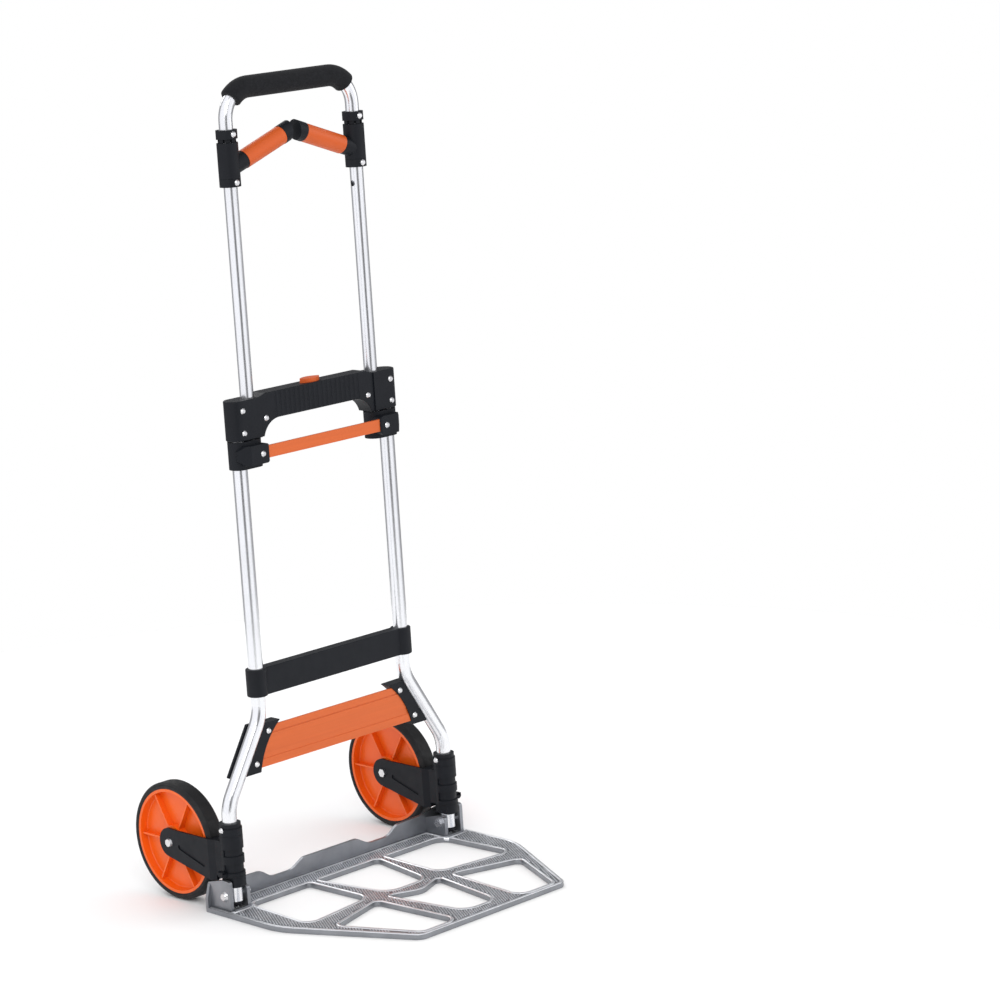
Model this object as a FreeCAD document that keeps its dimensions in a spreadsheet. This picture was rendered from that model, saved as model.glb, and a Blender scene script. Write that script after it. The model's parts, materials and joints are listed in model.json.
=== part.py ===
"""A folding hand truck with a telescopic handle, built as a parametric document.

Axes: +Z up, +X to the right seen from the front (the loading side), -Y forward.
The origin lies on the floor, midway between the two columns, in the plane of the frame tubes.
All sizes are in millimetres. Pieces are drawn for the right side and mirrored to the left.
"""
import FreeCAD, Part
import math
import os

import Sketcher
from FreeCAD import Placement, Rotation, Vector

SIZES = {
    # Frame tubes: upright rails that bend out to the two wheel columns
    "rail_r": 11.0, "rail_wall": 1.5, "rail_x": 145.5, "rail_top": 744.0,
    "column_x": 217.5, "column_foot": 18.0, "bend_high": 278.5, "bend_low": 160.4, "rail_bend": 60.0,
    "plug_foot": 12.0, "plug_top": 21.5, "plug_chamfer": 2.0,
    # Handle tube: an upturned U that slides in the frame
    "handle_r": 10.0, "handle_wall": 1.5, "handle_x": "=rail_x - rail_r - handle_r - 2.5",
    "handle_foot": 648.0, "handle_top": 1188.5, "handle_bend": 45.0, "handle_travel": 295.0,
    "foam_r": "=handle_r + 6", "foam_turn": 43.5,
    # Upper crossbar, in two shells, with the release button and its lock pins
    "bar_end_r": "=rail_r + 6", "bar_half": "=rail_r + 4", "bar_low": 688.5, "bar_high": 747.0,
    "bar_mid_low": 712.0, "bar_mid_high": 751.0, "bar_mid_x": 99.0, "shoulder_x": 112.0,
    "hand_arc_r": 32.0, "hand_arc_x": 75.0, "bar_wall": 3.0, "bar_edge": 1.6,
    "flute_r": 3.2, "flute_depth": 0.7, "flute_pitch": 9.0,
    "bar_screw_rise": 11.0, "inner_screw_in": 11.5, "inner_screw_rise": 2.5,
    "button_half": 19.0, "button_deep": 9.5, "button_top": 757.0, "button_travel": 4.5,
    "flange_half": 23.0, "flange_thick": 3.0, "stem_r": 7.0, "stem_bore": 5.2, "web_half": 2.0,
    "web_x": 33.0, "web_foot": 722.0,
    "lock_z": 732.0, "pin_r": 4.0, "pin_gap": 0.4, "peg_r": 2.0, "peg_x": 24.0,
    "tongue_thick": 3.5, "tongue_half": 3.5, "tongue_lap": 2.2, "guide_x": 104.0,
    "spring_r": 3.8, "spring_wire": 0.5, "spring_pitch": 3.4,
    # Lower crossbar
    "low_bar_r": "=rail_r + 4.5", "low_bar_low": 309.6, "low_bar_high": 350.6, "low_bar_half": 9.5,
    "low_screw_z": 330.0,
    # Slider at the handle's foot, with the flat strap across
    "slider_r": "=rail_r + 4.5", "slider_low": 646.6, "slider_high": 687.0,
    "lug_in": 110.0, "lug_out": 160.0, "lug_low": 653.0, "lug_high": 681.5, "lug_front": 28.0,
    "lug_chamfer": 7.0, "lug_round": 6.0, "strap_low": 659.0, "strap_high": 677.0, "strap_front": 25.0,
    "strap_thick": 4.0, "strap_half": 134.0, "strap_screw_x": 122.4, "strap_screw_z": 667.0,
    # Orange back panel and its corner brackets
    "panel_low": 202.0, "panel_high": 261.0, "panel_front": 2.5, "panel_thick": 3.0,
    "panel_gap": 2.3, "panel_step": 0.8, "flute_low": 12.0, "flute_high": 22.0, "line_drop": 12.0,
    "bracket_front": 4.0, "bracket_back": 14.0, "bracket_low": 196.0, "bracket_high": 268.0,
    "bracket_tip_x": 108.0, "bracket_foot_x": 153.0, "bracket_edge": 9.0, "bracket_bow": 8.0,
    "rivet_high_x": 132.8, "rivet_high_z": 254.0, "rivet_low_x": 159.8, "rivet_low_z": 209.4,
    "tube_screw_high": 253.6, "tube_screw_low": 209.0,
    # Wheel columns: a collar, the swivelling fork barrel and a base collar on each tube
    "column_r": 17.5, "collar_low": 118.0, "collar_high": 136.0, "collar_bolt_z": 127.0,
    "barrel_low": 56.8, "barrel_high": 117.7, "groove_r": 15.6,
    "groove_low": 62.5, "groove_low_top": 75.6, "groove_high": 87.4, "groove_high_top": 98.0,
    "base_low": 41.0, "base_high": 56.5, "base_flat": 12.2,
    "arm_out": 20.6, "arm_in": 17.0, "arm_slot_gap": 2.5, "arm_neck_y": 18.0, "arm_flare_y": 30.0,
    "arm_end_r": 22.0, "arm_top": 110.0, "arm_foot": 48.0, "arm_pocket": 1.6,
    "neck_gap": 0.7, "neck_foot": 49.6, "cam_out": 26.5, "cam_low": 57.4, "cam_high": 67.0, "cam_half": 5.0,
    # Wheels
    "wheel_y": 118.5, "wheel_r": 89.0, "wheel_half": 15.0,
    "rim_r": "=wheel_r - 9.6", "rim_in": "=wheel_r - 15.4",
    "hub_half": 13.5, "web_thick": 3.0, "hub_r": 24.0, "rib_thick": 2.6, "rib_half": 11.0,
    "bush_r": 8.0, "bush_flange_r": 11.0, "bush_flange": 1.5, "axle_r": 5.0, "axle_head_r": 6.8,
    # Toe plate on its hinge bolts
    "plate_half": 245.0, "plate_back": 36.0, "plate_front": 316.0, "plate_top": 7.0,
    "plate_side": 120.0, "plate_nose": 134.0, "plate_corner": 18.0, "plate_shoulder": 110.0,
    "hinge_z": 28.0, "hinge_r": 4.0, "hinge_head_r": 7.5, "hinge_head": 4.0, "hinge_nut_r": 7.0,
    "ear_in": 199.0, "ear_out": 232.0, "ear_thick": 6.0, "ear_out_top": 52.0, "ear_in_top": 38.0,
    "ear_front": 12.0, "flange_y": 31.0, "lip_high": 36.0, "lip_low": 21.0, "lip_dip_x": 99.0,
    "lip_dip_half": 54.0, "sill_deep": 3.5, "sill_top": 9.5,
    # Side grips on the handle
    "mount_r": "=handle_r + 5.5", "grip_z": 1076.6, "grip_rise": 19.8, "grip_low": 1051.0,
    "sleeve_low": 1063.0,
    "sleeve_high": 1114.0, "ring_high": 1119.0, "grip_high": 1132.0, "ring_r": "=handle_r + 3.2",
    "notch_r": 1.9, "stub_r": 13.2, "core_r": 9.0, "cover_r": 13.85, "cover_start": 29.4, "cover_end": 107.0,
    "cap_r": 14.25, "cap_plane": 7.6,
    # Fasteners and fits
    "screw_r": 2.2, "screw_head_r": 4.4, "screw_head": 1.8, "washer_r": 6.5, "washer_thick": 1.0,
    "hole_gap": 0.15, "slide_gap": 0.3, "running_gap": 0.08, "end_gap": 0.3,
}

FLUTES_EACH_SIDE = 9
RING_NOTCHES = 8
AXES = {"X": Vector(1, 0, 0), "Y": Vector(0, 1, 0), "Z": Vector(0, 0, 1)}
ROD_TURNS = {"X": Rotation(Vector(0, 1, 0), 90), "Y": Rotation(Vector(1, 0, 0), -90), "Z": Rotation()}
PLANES = {
    "XY": ("Z", Rotation()),
    "XZ": ("Y", Rotation(Vector(1, 0, 0), 90)),
    "YZ": ("X", Rotation(0.5, 0.5, 0.5, 0.5)),
}


class Size:
    """A number and the sheet expression that gives it, kept together through arithmetic."""

    def __init__(self, text, value):
        self.text = text
        self.value = float(value)

    def __add__(self, other):
        other = as_size(other)
        return Size(f"({self.text} + {other.text})", self.value + other.value)

    def __sub__(self, other):
        other = as_size(other)
        return Size(f"({self.text} - {other.text})", self.value - other.value)

    def __mul__(self, other):
        other = as_size(other)
        return Size(f"({self.text} * {other.text})", self.value * other.value)

    def __truediv__(self, other):
        other = as_size(other)
        return Size(f"({self.text} / {other.text})", self.value / other.value)

    def __radd__(self, other):
        return as_size(other) + self

    def __rsub__(self, other):
        return as_size(other) - self

    def __rmul__(self, other):
        return as_size(other) * self

    def __neg__(self):
        return Size(f"(0 - {self.text})", -self.value)


def as_size(amount):
    """The amount as a Size, so that plain numbers and sheet sizes mix."""
    return amount if isinstance(amount, Size) else Size(repr(float(amount)), amount)


def root(amount):
    """The square root of a size."""
    return Size(f"sqrt({amount.text})", math.sqrt(amount.value))


def wave(function, angle):
    """The sine or cosine of an angle in degrees."""
    return Size(f"{function}({angle.text})", getattr(math, function)(math.radians(angle.value)))


def make_sheet():
    """Writes the driving sizes into the sheet and returns them as Sizes: some follow an earlier one."""
    sheet = doc.addObject("Spreadsheet::Sheet", "Sizes")
    for row, (name, value) in enumerate(SIZES.items(), start=1):
        sheet.set(f"A{row}", name)
        sheet.set(f"B{row}", str(value))
        sheet.setAlias(f"B{row}", name)
    doc.recompute()
    return {name: Size(f"Sizes.{name}", sheet.get(name)) for name in SIZES}


doc = FreeCAD.newDocument("hand_truck")
S = type("Sizes", (), make_sheet())
nodes = {}


# ---------------------------------------------------------------- building blocks

def bind(item, prop, amount):
    """Ties a property to a size's expression."""
    item.setExpression(prop, as_size(amount).text)


def place(item, x, y, z):
    """Ties an object's position to three sizes."""
    for letter, amount in zip("xyz", (x, y, z)):
        bind(item, f"Placement.Base.{letter}", amount)


def both(half):
    """The span from -half to +half."""
    return (-half, half)


def box(name, x, y, z):
    """A block between the low and high ends of its three spans."""
    item = doc.addObject("Part::Box", name)
    for prop, (low, high) in zip(("Length", "Width", "Height"), (x, y, z)):
        bind(item, prop, as_size(high) - low)
    place(item, x[0], y[0], z[0])
    return item


def along(axis, centre, start):
    """The three coordinates of a point: two across the axis and one along it."""
    spot = list(centre)
    spot.insert("XYZ".index(axis), start)
    return spot


def rod(name, axis, centre, span, radius):
    """A cylinder along an axis; the centre gives its other two coordinates in X, Y, Z order."""
    item = doc.addObject("Part::Cylinder", name)
    bind(item, "Radius", radius)
    bind(item, "Height", as_size(span[1]) - span[0])
    item.Placement = Placement(Vector(), ROD_TURNS[axis])
    place(item, *along(axis, centre, span[0]))
    return item


def cone(name, axis, centre, span, start_r, end_r):
    """A cone frustum along an axis, from its start radius to its end radius."""
    item = doc.addObject("Part::Cone", name)
    bind(item, "Radius1", start_r)
    bind(item, "Radius2", end_r)
    bind(item, "Height", as_size(span[1]) - span[0])
    item.Placement = Placement(Vector(), ROD_TURNS[axis])
    place(item, *along(axis, centre, span[0]))
    return item


def fuse(name, *shapes):
    """The union of overlapping shapes, with seams between coplanar faces removed."""
    item = doc.addObject("Part::MultiFuse", name)
    item.Shapes = list(shapes)
    item.Refine = True
    return item


def cut(name, base, *tools):
    """The base less every tool."""
    item = doc.addObject("Part::Cut", name)
    item.Base = base
    item.Tool = tools[0] if len(tools) == 1 else fuse(name + "_tools", *tools)
    return item


def common(name, first, second):
    """What two shapes share."""
    item = doc.addObject("Part::Common", name)
    item.Base = first
    item.Tool = second
    return item


def mirror(name, source):
    """The source mirrored to the other side of the YZ plane."""
    item = doc.addObject("Part::Mirroring", name)
    item.Source = source
    item.Normal = AXES["X"]
    return item


def group(name, *shapes):
    """Separate solids kept together as one sub-part."""
    item = doc.addObject("Part::Compound", name)
    item.Links = list(shapes)
    return item


def with_mirror(name, *shapes):
    """A sub-part of separate solids: the given ones and their mirror images."""
    half = group(name + "_half", *shapes)
    return group(name, half, mirror(name + "_mirror", half))


def node(label, item):
    """Registers a finished sub-part under its file name."""
    item.Label = label
    nodes[label] = item
    return item


def pair(label, item):
    """Registers a right-hand piece and its left-hand mirror image."""
    node(label + "_right", item)
    node(label + "_left", mirror(label + "_mirrored", item))


def corner_ends(corners, spots, i):
    """Where an outline meets corner i coming in and going out, and the centre of its round."""
    if len(corners[i]) == 2:
        return spots[i], spots[i], None
    count = len(corners)
    radius = as_size(corners[i][2]).value
    before = (spots[i - 1] - spots[i]).normalize()
    after = (spots[(i + 1) % count] - spots[i]).normalize()
    half = before.getAngle(after) / 2
    run = radius / math.tan(half)
    centre = spots[i] + (before + after).normalize() * (radius / math.sin(half))
    return spots[i] + before * run, spots[i] + after * run, centre


def draw(sketch, corners, closed=True):
    """Draws a fully constrained outline through corners given as (across, up) or
    (across, up, radius): a radius rounds the corner with a tangent arc."""
    count = len(corners)
    spots = [Vector(as_size(c[0]).value, as_size(c[1]).value, 0) for c in corners]
    ends = [corner_ends(corners, spots, i) for i in range(count)]
    for i in range(count if closed else count - 1):
        sketch.addGeometry(Part.LineSegment(ends[i][1], ends[(i + 1) % count][0]), False)
    rules, sizes = [], []

    def hold(geometry, point, corner):
        for kind, amount in (("DistanceX", corner[0]), ("DistanceY", corner[1])):
            sizes.append((len(rules), as_size(amount)))
            rules.append(Sketcher.Constraint(kind, -1, 1, geometry, point, as_size(amount).value))

    for i, corner in enumerate(corners):
        line_in, line_out = (i - 1) % count, i
        if not closed and i in (0, count - 1):
            hold(line_out if i == 0 else line_in, 1 if i == 0 else 2, corner)
            continue
        entry, leave, centre = ends[i]
        if centre is None:
            rules.append(Sketcher.Constraint("Coincident", line_in, 2, line_out, 1))
            hold(line_out, 1, corner)
            continue
        turn = (spots[i] - spots[i - 1]).cross(spots[(i + 1) % count] - spots[i]).z
        first, last = (entry, leave) if turn > 0 else (leave, entry)
        circle = Part.Circle(centre, Vector(0, 0, 1), as_size(corner[2]).value)
        angles = [math.atan2(p.y - centre.y, p.x - centre.x) for p in (first, last)]
        arc = sketch.addGeometry(Part.ArcOfCircle(circle, *angles), False)
        point = sketch.addGeometry(Part.Point(spots[i]), True)
        arc_in, arc_out = (1, 2) if turn > 0 else (2, 1)
        rules.append(Sketcher.Constraint("Tangent", line_in, 2, arc, arc_in))
        rules.append(Sketcher.Constraint("Tangent", arc, arc_out, line_out, 1))
        rules.append(Sketcher.Constraint("PointOnObject", point, 1, line_in))
        rules.append(Sketcher.Constraint("PointOnObject", point, 1, line_out))
        hold(point, 1, corner)
        sizes.append((len(rules), as_size(corner[2])))
        rules.append(Sketcher.Constraint("Radius", arc, as_size(corner[2]).value))
    sketch.addConstraint(rules)
    for index, amount in sizes:
        sketch.setExpression(f"Constraints[{index}]", amount.text)


def extrude(name, plane, corners, span):
    """An outline drawn in a plane and extruded over a span of the third axis."""
    axis, turn = PLANES[plane]
    sketch = doc.addObject("Sketcher::SketchObject", name + "_outline")
    sketch.Placement = Placement(Vector(), turn)
    bind(sketch, f"Placement.Base.{axis.lower()}", span[0])
    draw(sketch, corners)
    item = doc.addObject("Part::Extrusion", name)
    item.Base = sketch
    item.DirMode = "Custom"
    item.Dir = AXES[axis]
    item.Solid = True
    bind(item, "LengthFwd", as_size(span[1]) - span[0])
    return item


def spin(name, axis, corners, centre):
    """A profile of (radius, height) corners turned a full circle about an axis along X or Z."""
    sketch = doc.addObject("Sketcher::SketchObject", name + "_profile")
    draw(sketch, corners)
    sketch.Placement = Placement(Vector(), PLANES["XZ"][1])
    item = doc.addObject("Part::Revolution", name)
    item.Source = sketch
    item.Axis = AXES["Z"]
    item.Solid = True
    item.Placement = Placement(Vector(), ROD_TURNS[axis])
    place(item, *centre)
    return item


def sweep(name, corners, radius):
    """A round bar swept along a path in the XZ plane, whose corners give their bend radius."""
    spine = doc.addObject("Sketcher::SketchObject", name + "_path")
    spine.Placement = Placement(Vector(), PLANES["XZ"][1])
    draw(spine, corners, closed=False)
    ring = doc.addObject("Part::Circle", name + "_section")
    bind(ring, "Radius", radius)
    place(ring, corners[0][0], 0, corners[0][1])
    item = doc.addObject("Part::Sweep", name)
    item.Sections = [ring]
    item.Spine = spine
    item.Solid = True
    return item


def round_edges(name, base, radius, wanted):
    """Rounds the edges of the base that the test picks, limited to those it finds."""
    doc.recompute()
    picked = [i for i, edge in enumerate(base.Shape.Edges, start=1) if wanted(edge)]
    item = doc.addObject("Part::Fillet", name)
    item.Base = base
    item.Edges = [(i, radius.value, radius.value) for i in picked]
    return item


def screw(name, axis, centre, span, heads=(True, True)):
    """A round-headed fastener along an axis, with a head at either end of its span."""
    low, high = span
    parts = [rod(name + "_shank", axis, centre, span, S.screw_r)]
    if heads[0]:
        start = as_size(low) - S.screw_head
        parts.append(cone(name + "_low", axis, centre, (start, low), S.screw_head_r - 1.6, S.screw_head_r))
    if heads[1]:
        end = as_size(high) + S.screw_head
        parts.append(cone(name + "_high", axis, centre, (high, end), S.screw_head_r, S.screw_head_r - 1.6))
    return fuse(name, *parts)


def screw_hole(name, axis, centre, span):
    """The clear hole for a fastener."""
    return rod(name, axis, centre, span, S.screw_r + S.hole_gap)


# ---------------------------------------------------------------- frame tubes

def rail_path():
    """The centre line of a frame tube: column foot, two bends, upright rail."""
    return [(S.column_x, S.column_foot), (S.column_x, S.bend_low, S.rail_bend),
            (S.rail_x, S.bend_high, S.rail_bend), (S.rail_x, S.rail_top)]


def slope_x(height):
    """Where the slanted part of a frame tube's centre line is at a height."""
    run = (S.column_x - S.rail_x) / (S.bend_high - S.bend_low)
    return S.rail_x + (S.bend_high - height) * run


def make_frame_tubes():
    reach = S.rail_r + 1
    tools = [sweep("rail_bore", rail_path(), S.rail_r - S.rail_wall)]
    for height in (S.lock_z, S.bar_low + S.bar_screw_rise, S.low_screw_z):
        tools.append(screw_hole("rail_hole", "Y", (S.rail_x, height), both(reach)))
    for height in (S.tube_screw_high, S.tube_screw_low):
        tools.append(screw_hole("rail_back_hole", "Y", (slope_x(height), height), (0, reach)))
    column = (S.column_x - reach, S.column_x + reach)
    tools.append(screw_hole("collar_hole", "X", (0, S.collar_bolt_z), column))
    tools.append(rod("hinge_hole", "X", (0, S.hinge_z), column, S.hinge_r + S.running_gap))
    pair("frame_tube", cut("frame_tube", sweep("rail_bar", rail_path(), S.rail_r), *tools))

    centre = (S.column_x, 0)
    bevel = (S.plug_foot, S.plug_foot + S.plug_chamfer)
    plug = fuse("plug", cone("plug_bevel", "Z", centre, bevel, S.rail_r - S.plug_chamfer, S.rail_r),
                rod("plug_head", "Z", centre, (bevel[1], S.column_foot), S.rail_r),
                rod("plug_stem", "Z", centre, (S.column_foot, S.plug_top), S.rail_r - S.rail_wall))
    node("tube_end_plugs", with_mirror("tube_end_plugs", plug))


# ---------------------------------------------------------------- upper crossbar

def crossbar_outline():
    """Front view of the upper crossbar, right half first."""
    right = [(S.hand_arc_x, S.bar_mid_low), (S.hand_arc_x, S.bar_low),
             (S.rail_x + S.bar_end_r, S.bar_low), (S.rail_x + S.bar_end_r, S.bar_high),
             (S.shoulder_x, S.bar_high), (S.bar_mid_x, S.bar_mid_high)]
    return right + [(-x, z) for x, z in reversed(right)]


def crossbar_block():
    """The whole crossbar before its bores: the front view met with the plan view."""
    front = extrude("crossbar_front_view", "XZ", crossbar_outline(), both(S.bar_end_r))
    tall = (S.bar_low - 1, S.bar_mid_high + 1)
    plan = [box("crossbar_middle", both(S.rail_x), both(S.bar_half), tall)]
    for side in (-1, 1):
        near, far = S.shoulder_x, S.rail_x
        span = (near, far) if side > 0 else (-far, -near)
        plan.append(box("crossbar_end", span, both(S.bar_end_r), tall))
        plan.append(rod("crossbar_round", "Z", (S.rail_x * side, 0), tall, S.bar_end_r))
    block = common("crossbar_block", front, fuse("crossbar_plan", *plan))
    arcs = [rod("hand_arc", "Y", (S.hand_arc_x * side, S.bar_mid_low - S.hand_arc_r),
                both(S.bar_end_r + 1), S.hand_arc_r) for side in (-1, 1)]
    return cut("crossbar_arched", block, *arcs)


def on_outer_rim(edge):
    """Edges that run across the front or back of the crossbar or round its ends."""
    return edge.BoundBox.XLength > 3


def button_lens(name, half, deep, span):
    """A lens-shaped prism: where two upright round bars cross."""
    radius = (half * half + deep * deep) / (2 * deep)
    offset = radius - deep
    return common(name, rod(name + "_front", "Z", (0, offset), span, radius),
                  rod(name + "_back", "Z", (0, -offset), span, radius))


def make_crossbar():
    block = round_edges("crossbar_rounded", crossbar_block(), S.bar_edge, on_outer_rim)
    wall, gap = S.bar_wall, S.slide_gap
    far = S.bar_end_r + 1
    tools = [box("bar_cavity", both(S.guide_x - 8), both(S.bar_half - wall),
                 (S.bar_mid_low + wall, S.bar_mid_high - wall)),
             button_lens("button_opening", S.button_half + gap, S.button_deep + gap,
                         (S.bar_mid_high - wall - 1, S.bar_mid_high + 1)),
             rod("pin_guides", "X", (0, S.lock_z), both(S.handle_x), S.pin_r + gap)]
    for side in (-1, 1):
        tools.append(rod("rail_seat", "Z", (S.rail_x * side, 0), (S.bar_low - 1, S.rail_top), S.rail_r))
        tools.append(rod("handle_bore", "Z", (S.handle_x * side, 0),
                         (S.bar_low - 1, S.bar_high + 2), S.handle_r + gap))
        for x, z in crossbar_screw_spots():
            tools.append(screw_hole("bar_screw_hole", "Y", (x * side, z), both(far)))
    flute_y, flute_span = -S.bar_half - S.flute_r + S.flute_depth, (S.bar_mid_low - 1, S.bar_mid_high + 1)
    flutes = [rod("flute", "Z", (S.flute_pitch * i, flute_y), flute_span, S.flute_r)
              for i in range(-FLUTES_EACH_SIDE, FLUTES_EACH_SIDE + 1)]
    shell = cut("crossbar_bored", block, *tools)
    wide, tall = both(S.rail_x + S.bar_end_r + 1), (S.bar_low - 1, S.bar_mid_high + 1)
    front = common("crossbar_front", shell, box("front_half", wide, (-far, 0), tall))
    back = common("crossbar_back", shell, box("back_half", wide, (0, far), tall))
    node("crossbar_front_cover", cut("crossbar_front_cover", front, *flutes))
    node("crossbar_back_cover", back)
    screws = []
    for index, (x, z) in enumerate(crossbar_screw_spots()):
        reach = S.bar_half if index == 2 else S.bar_end_r
        screws.append(screw("bar_screw", "Y", (x, z), both(reach)))
    node("crossbar_screws", with_mirror("crossbar_screws", *screws))


def crossbar_screw_spots():
    """Right-hand screw positions: two through the rail, one beside the hand opening."""
    return [(S.rail_x, S.lock_z), (S.rail_x, S.bar_low + S.bar_screw_rise),
            (S.shoulder_x - S.inner_screw_in, S.bar_mid_low + S.inner_screw_rise)]


def make_button():
    """The button with its retaining flange, spring stem and slotted web, its pins and spring."""
    ceiling = S.bar_mid_high - S.bar_wall
    flange_top = ceiling - S.end_gap
    flange_low = flange_top - S.flange_thick
    head = button_lens("button_head", S.button_half, S.button_deep, (flange_low, S.button_top))
    stem_low = S.web_foot + 5
    web = box("button_web", both(S.web_x), both(S.web_half), (S.web_foot, flange_low + 1))
    body = fuse("button_body", head, web,
                box("button_flange", both(S.flange_half), both(S.button_deep), (flange_low, flange_top)),
                rod("button_stem", "Z", (0, 0), (stem_low, flange_low + 1), S.stem_r))
    spring_top = S.lock_z + 8
    tools = [rod("spring_pocket", "Z", (0, 0), (S.web_foot - 1, spring_top), S.stem_bore)]
    half = S.peg_r + S.hole_gap
    for side in (-1, 1):
        far_x, near_x = S.peg_x * side, (S.peg_x - S.button_travel) * side
        low, high = S.lock_z, S.lock_z + S.button_travel
        slope = half * math.sqrt(2)
        slot = [(far_x - slope * side, low), (far_x, low - slope), (far_x + slope * side, low),
                (near_x + slope * side, high), (near_x, high + slope), (near_x - slope * side, high)]
        tools.append(extrude("peg_slot", "XZ", slot, both(S.web_half + 1)))
    node("release_button", cut("release_button", body, *tools))

    beside = (S.web_half + S.slide_gap, S.web_half + S.slide_gap + S.tongue_thick)
    nose = S.handle_x - S.handle_r - S.pin_gap
    rod_start = S.web_x + S.button_travel + S.end_gap
    tongue = box("pin_tongue", (S.peg_x - S.pin_r, rod_start + S.tongue_lap), beside,
                 (S.lock_z - S.tongue_half, S.lock_z + S.tongue_half))
    pin = fuse("lock_pin", rod("pin_rod", "X", (0, S.lock_z), (rod_start, nose), S.pin_r),
               tongue, rod("pin_peg", "Y", (S.peg_x, S.lock_z), (-S.web_half, beside[1]), S.peg_r))
    pair("lock_pin", pin)

    helix = doc.addObject("Part::Helix", "spring_line")
    floor = S.bar_mid_low + S.bar_wall + S.spring_wire
    bind(helix, "Radius", S.spring_r)
    bind(helix, "Height", spring_top - S.spring_wire - floor)
    bind(helix, "Pitch", S.spring_pitch)
    place(helix, 0, 0, floor)
    ring = doc.addObject("Part::Circle", "spring_section")
    bind(ring, "Radius", S.spring_wire)
    ring.Placement = Placement(Vector(), Rotation(Vector(1, 0, 0), 90))
    place(ring, S.spring_r, 0, floor)
    spring = doc.addObject("Part::Sweep", "button_spring")
    spring.Sections = [ring]
    spring.Spine = helix
    spring.Solid = True
    spring.Frenet = True
    node("button_spring", spring)


# ---------------------------------------------------------------- lower crossbar

def make_lower_crossbar():
    span = (S.low_bar_low, S.low_bar_high)
    parts = [box("low_bar_middle", both(S.rail_x), both(S.low_bar_half), span)]
    tools, deep = [], S.low_bar_r + 1
    for side in (-1, 1):
        x = S.rail_x * side
        parts.append(rod("low_bar_end", "Z", (x, 0), span, S.low_bar_r))
        tools.append(rod("low_bar_seat", "Z", (x, 0), (S.low_bar_low - 1, S.low_bar_high + 1), S.rail_r))
        tools.append(screw_hole("low_bar_hole", "Y", (x, S.low_screw_z), (0, deep)))
    bar = fuse("low_bar", *parts)
    bar = round_edges("low_bar_rounded", bar, S.bar_edge,
                      lambda edge: edge.BoundBox.ZLength < 0.01 and edge.Length > 8)
    node("lower_crossbar", cut("lower_crossbar", bar, *tools))
    seat = S.low_bar_r
    head = S.low_bar_r + S.washer_thick
    spot = (S.rail_x, S.low_screw_z)
    inside = -S.rail_r + S.rail_wall + 1
    item = fuse("low_screw", rod("low_screw_shank", "Y", spot, (inside, seat), S.screw_r),
                rod("low_screw_washer", "Y", spot, (seat, head), S.washer_r),
                cone("low_screw_head", "Y", spot, (head, head + 2.4), S.screw_head_r, S.screw_head_r - 1.4))
    node("lower_crossbar_screws", with_mirror("lower_crossbar_screws", item))


# ---------------------------------------------------------------- panel and corner brackets

def bracket_outline():
    """Front view of a corner bracket: a triangle along the slanted tube."""
    slant = (S.column_x - S.rail_x) / (S.bend_high - S.bend_low)
    off = S.bracket_edge * root(1 + slant * slant)
    return [(S.bracket_tip_x, S.bracket_high - 1, 2), (S.bracket_foot_x, S.bracket_low, 2),
            (slope_x(S.bracket_low) + off, S.bracket_low, 2),
            (slope_x(S.bracket_high) + off, S.bracket_high, 2)]


def bracket_bite():
    """The round bite in the bracket's inner edge: centre and radius of the circle through its
    tip and foot, bowed by a fixed depth."""
    wide = S.bracket_foot_x - S.bracket_tip_x
    tall = S.bracket_high - S.bracket_low
    bow = S.bracket_bow
    chord = root(wide * wide + tall * tall)
    radius = (chord * chord / 4 + bow * bow) / (2 * bow)
    away = radius - bow
    x = (S.bracket_foot_x + S.bracket_tip_x) / 2 - away * tall / chord
    z = (S.bracket_high + S.bracket_low) / 2 - away * wide / chord
    return x, z, radius


def make_brackets():
    span = (-S.bracket_front, S.bracket_back)
    block = extrude("bracket_block", "XZ", bracket_outline(), span)
    x, z, radius = bracket_bite()
    wide = (-S.bracket_front - 1, S.bracket_back + 1)
    sheet = (-S.panel_front, -S.panel_front + S.panel_thick)
    tools = [rod("bracket_bite", "Y", (x, z), wide, radius),
             sweep("bracket_channel", rail_path(), S.rail_r),
             extrude("channel_mouth", "XZ", beside_tube(-S.rail_r), (-S.bracket_front - 1, 0)),
             extrude("outer_relief", "XZ", beside_tube(0), (-S.bracket_front - 1, S.rail_r - 1)),
             extrude("panel_slot", "XZ", panel_outline(S.hole_gap), sheet)]
    for spot in rivet_spots():
        tools.append(screw_hole("bracket_rivet_hole", "Y", spot, wide))
    for height in (S.tube_screw_high, S.tube_screw_low):
        tools.append(screw_hole("bracket_screw_hole", "Y", (slope_x(height), height),
                                (0, S.bracket_back + 1)))
    pair("corner_bracket", cut("corner_bracket", block, *tools))

    panel = extrude("panel_sheet", "XZ", panel_outline(0), sheet)
    flute = (-S.panel_front - 1, -S.panel_front + S.panel_step)
    whole = both(S.column_x)
    tools = [box("panel_flute", whole, flute, (S.panel_low + S.flute_low, S.panel_low + S.flute_high)),
             box("panel_line", whole, flute, (S.panel_high - S.line_drop, S.panel_high - S.line_drop + 2))]
    far = (-S.panel_front - 2, -S.panel_front + S.panel_thick + 2)
    for side in (-1, 1):
        for px, pz in rivet_spots():
            tools.append(screw_hole("panel_hole", "Y", (px * side, pz), far))
    node("back_panel", cut("back_panel", panel, *tools))
    rivets = [screw("panel_rivet", "Y", spot, span) for spot in rivet_spots()]
    node("panel_rivets", with_mirror("panel_rivets", *rivets))
    screws = []
    for height in (S.tube_screw_high, S.tube_screw_low):
        reach = (S.rail_r - S.rail_wall - 3, S.bracket_back)
        screws.append(screw("bracket_screw", "Y", (slope_x(height), height), reach, (False, True)))
    node("bracket_tube_screws", with_mirror("bracket_tube_screws", *screws))


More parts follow.
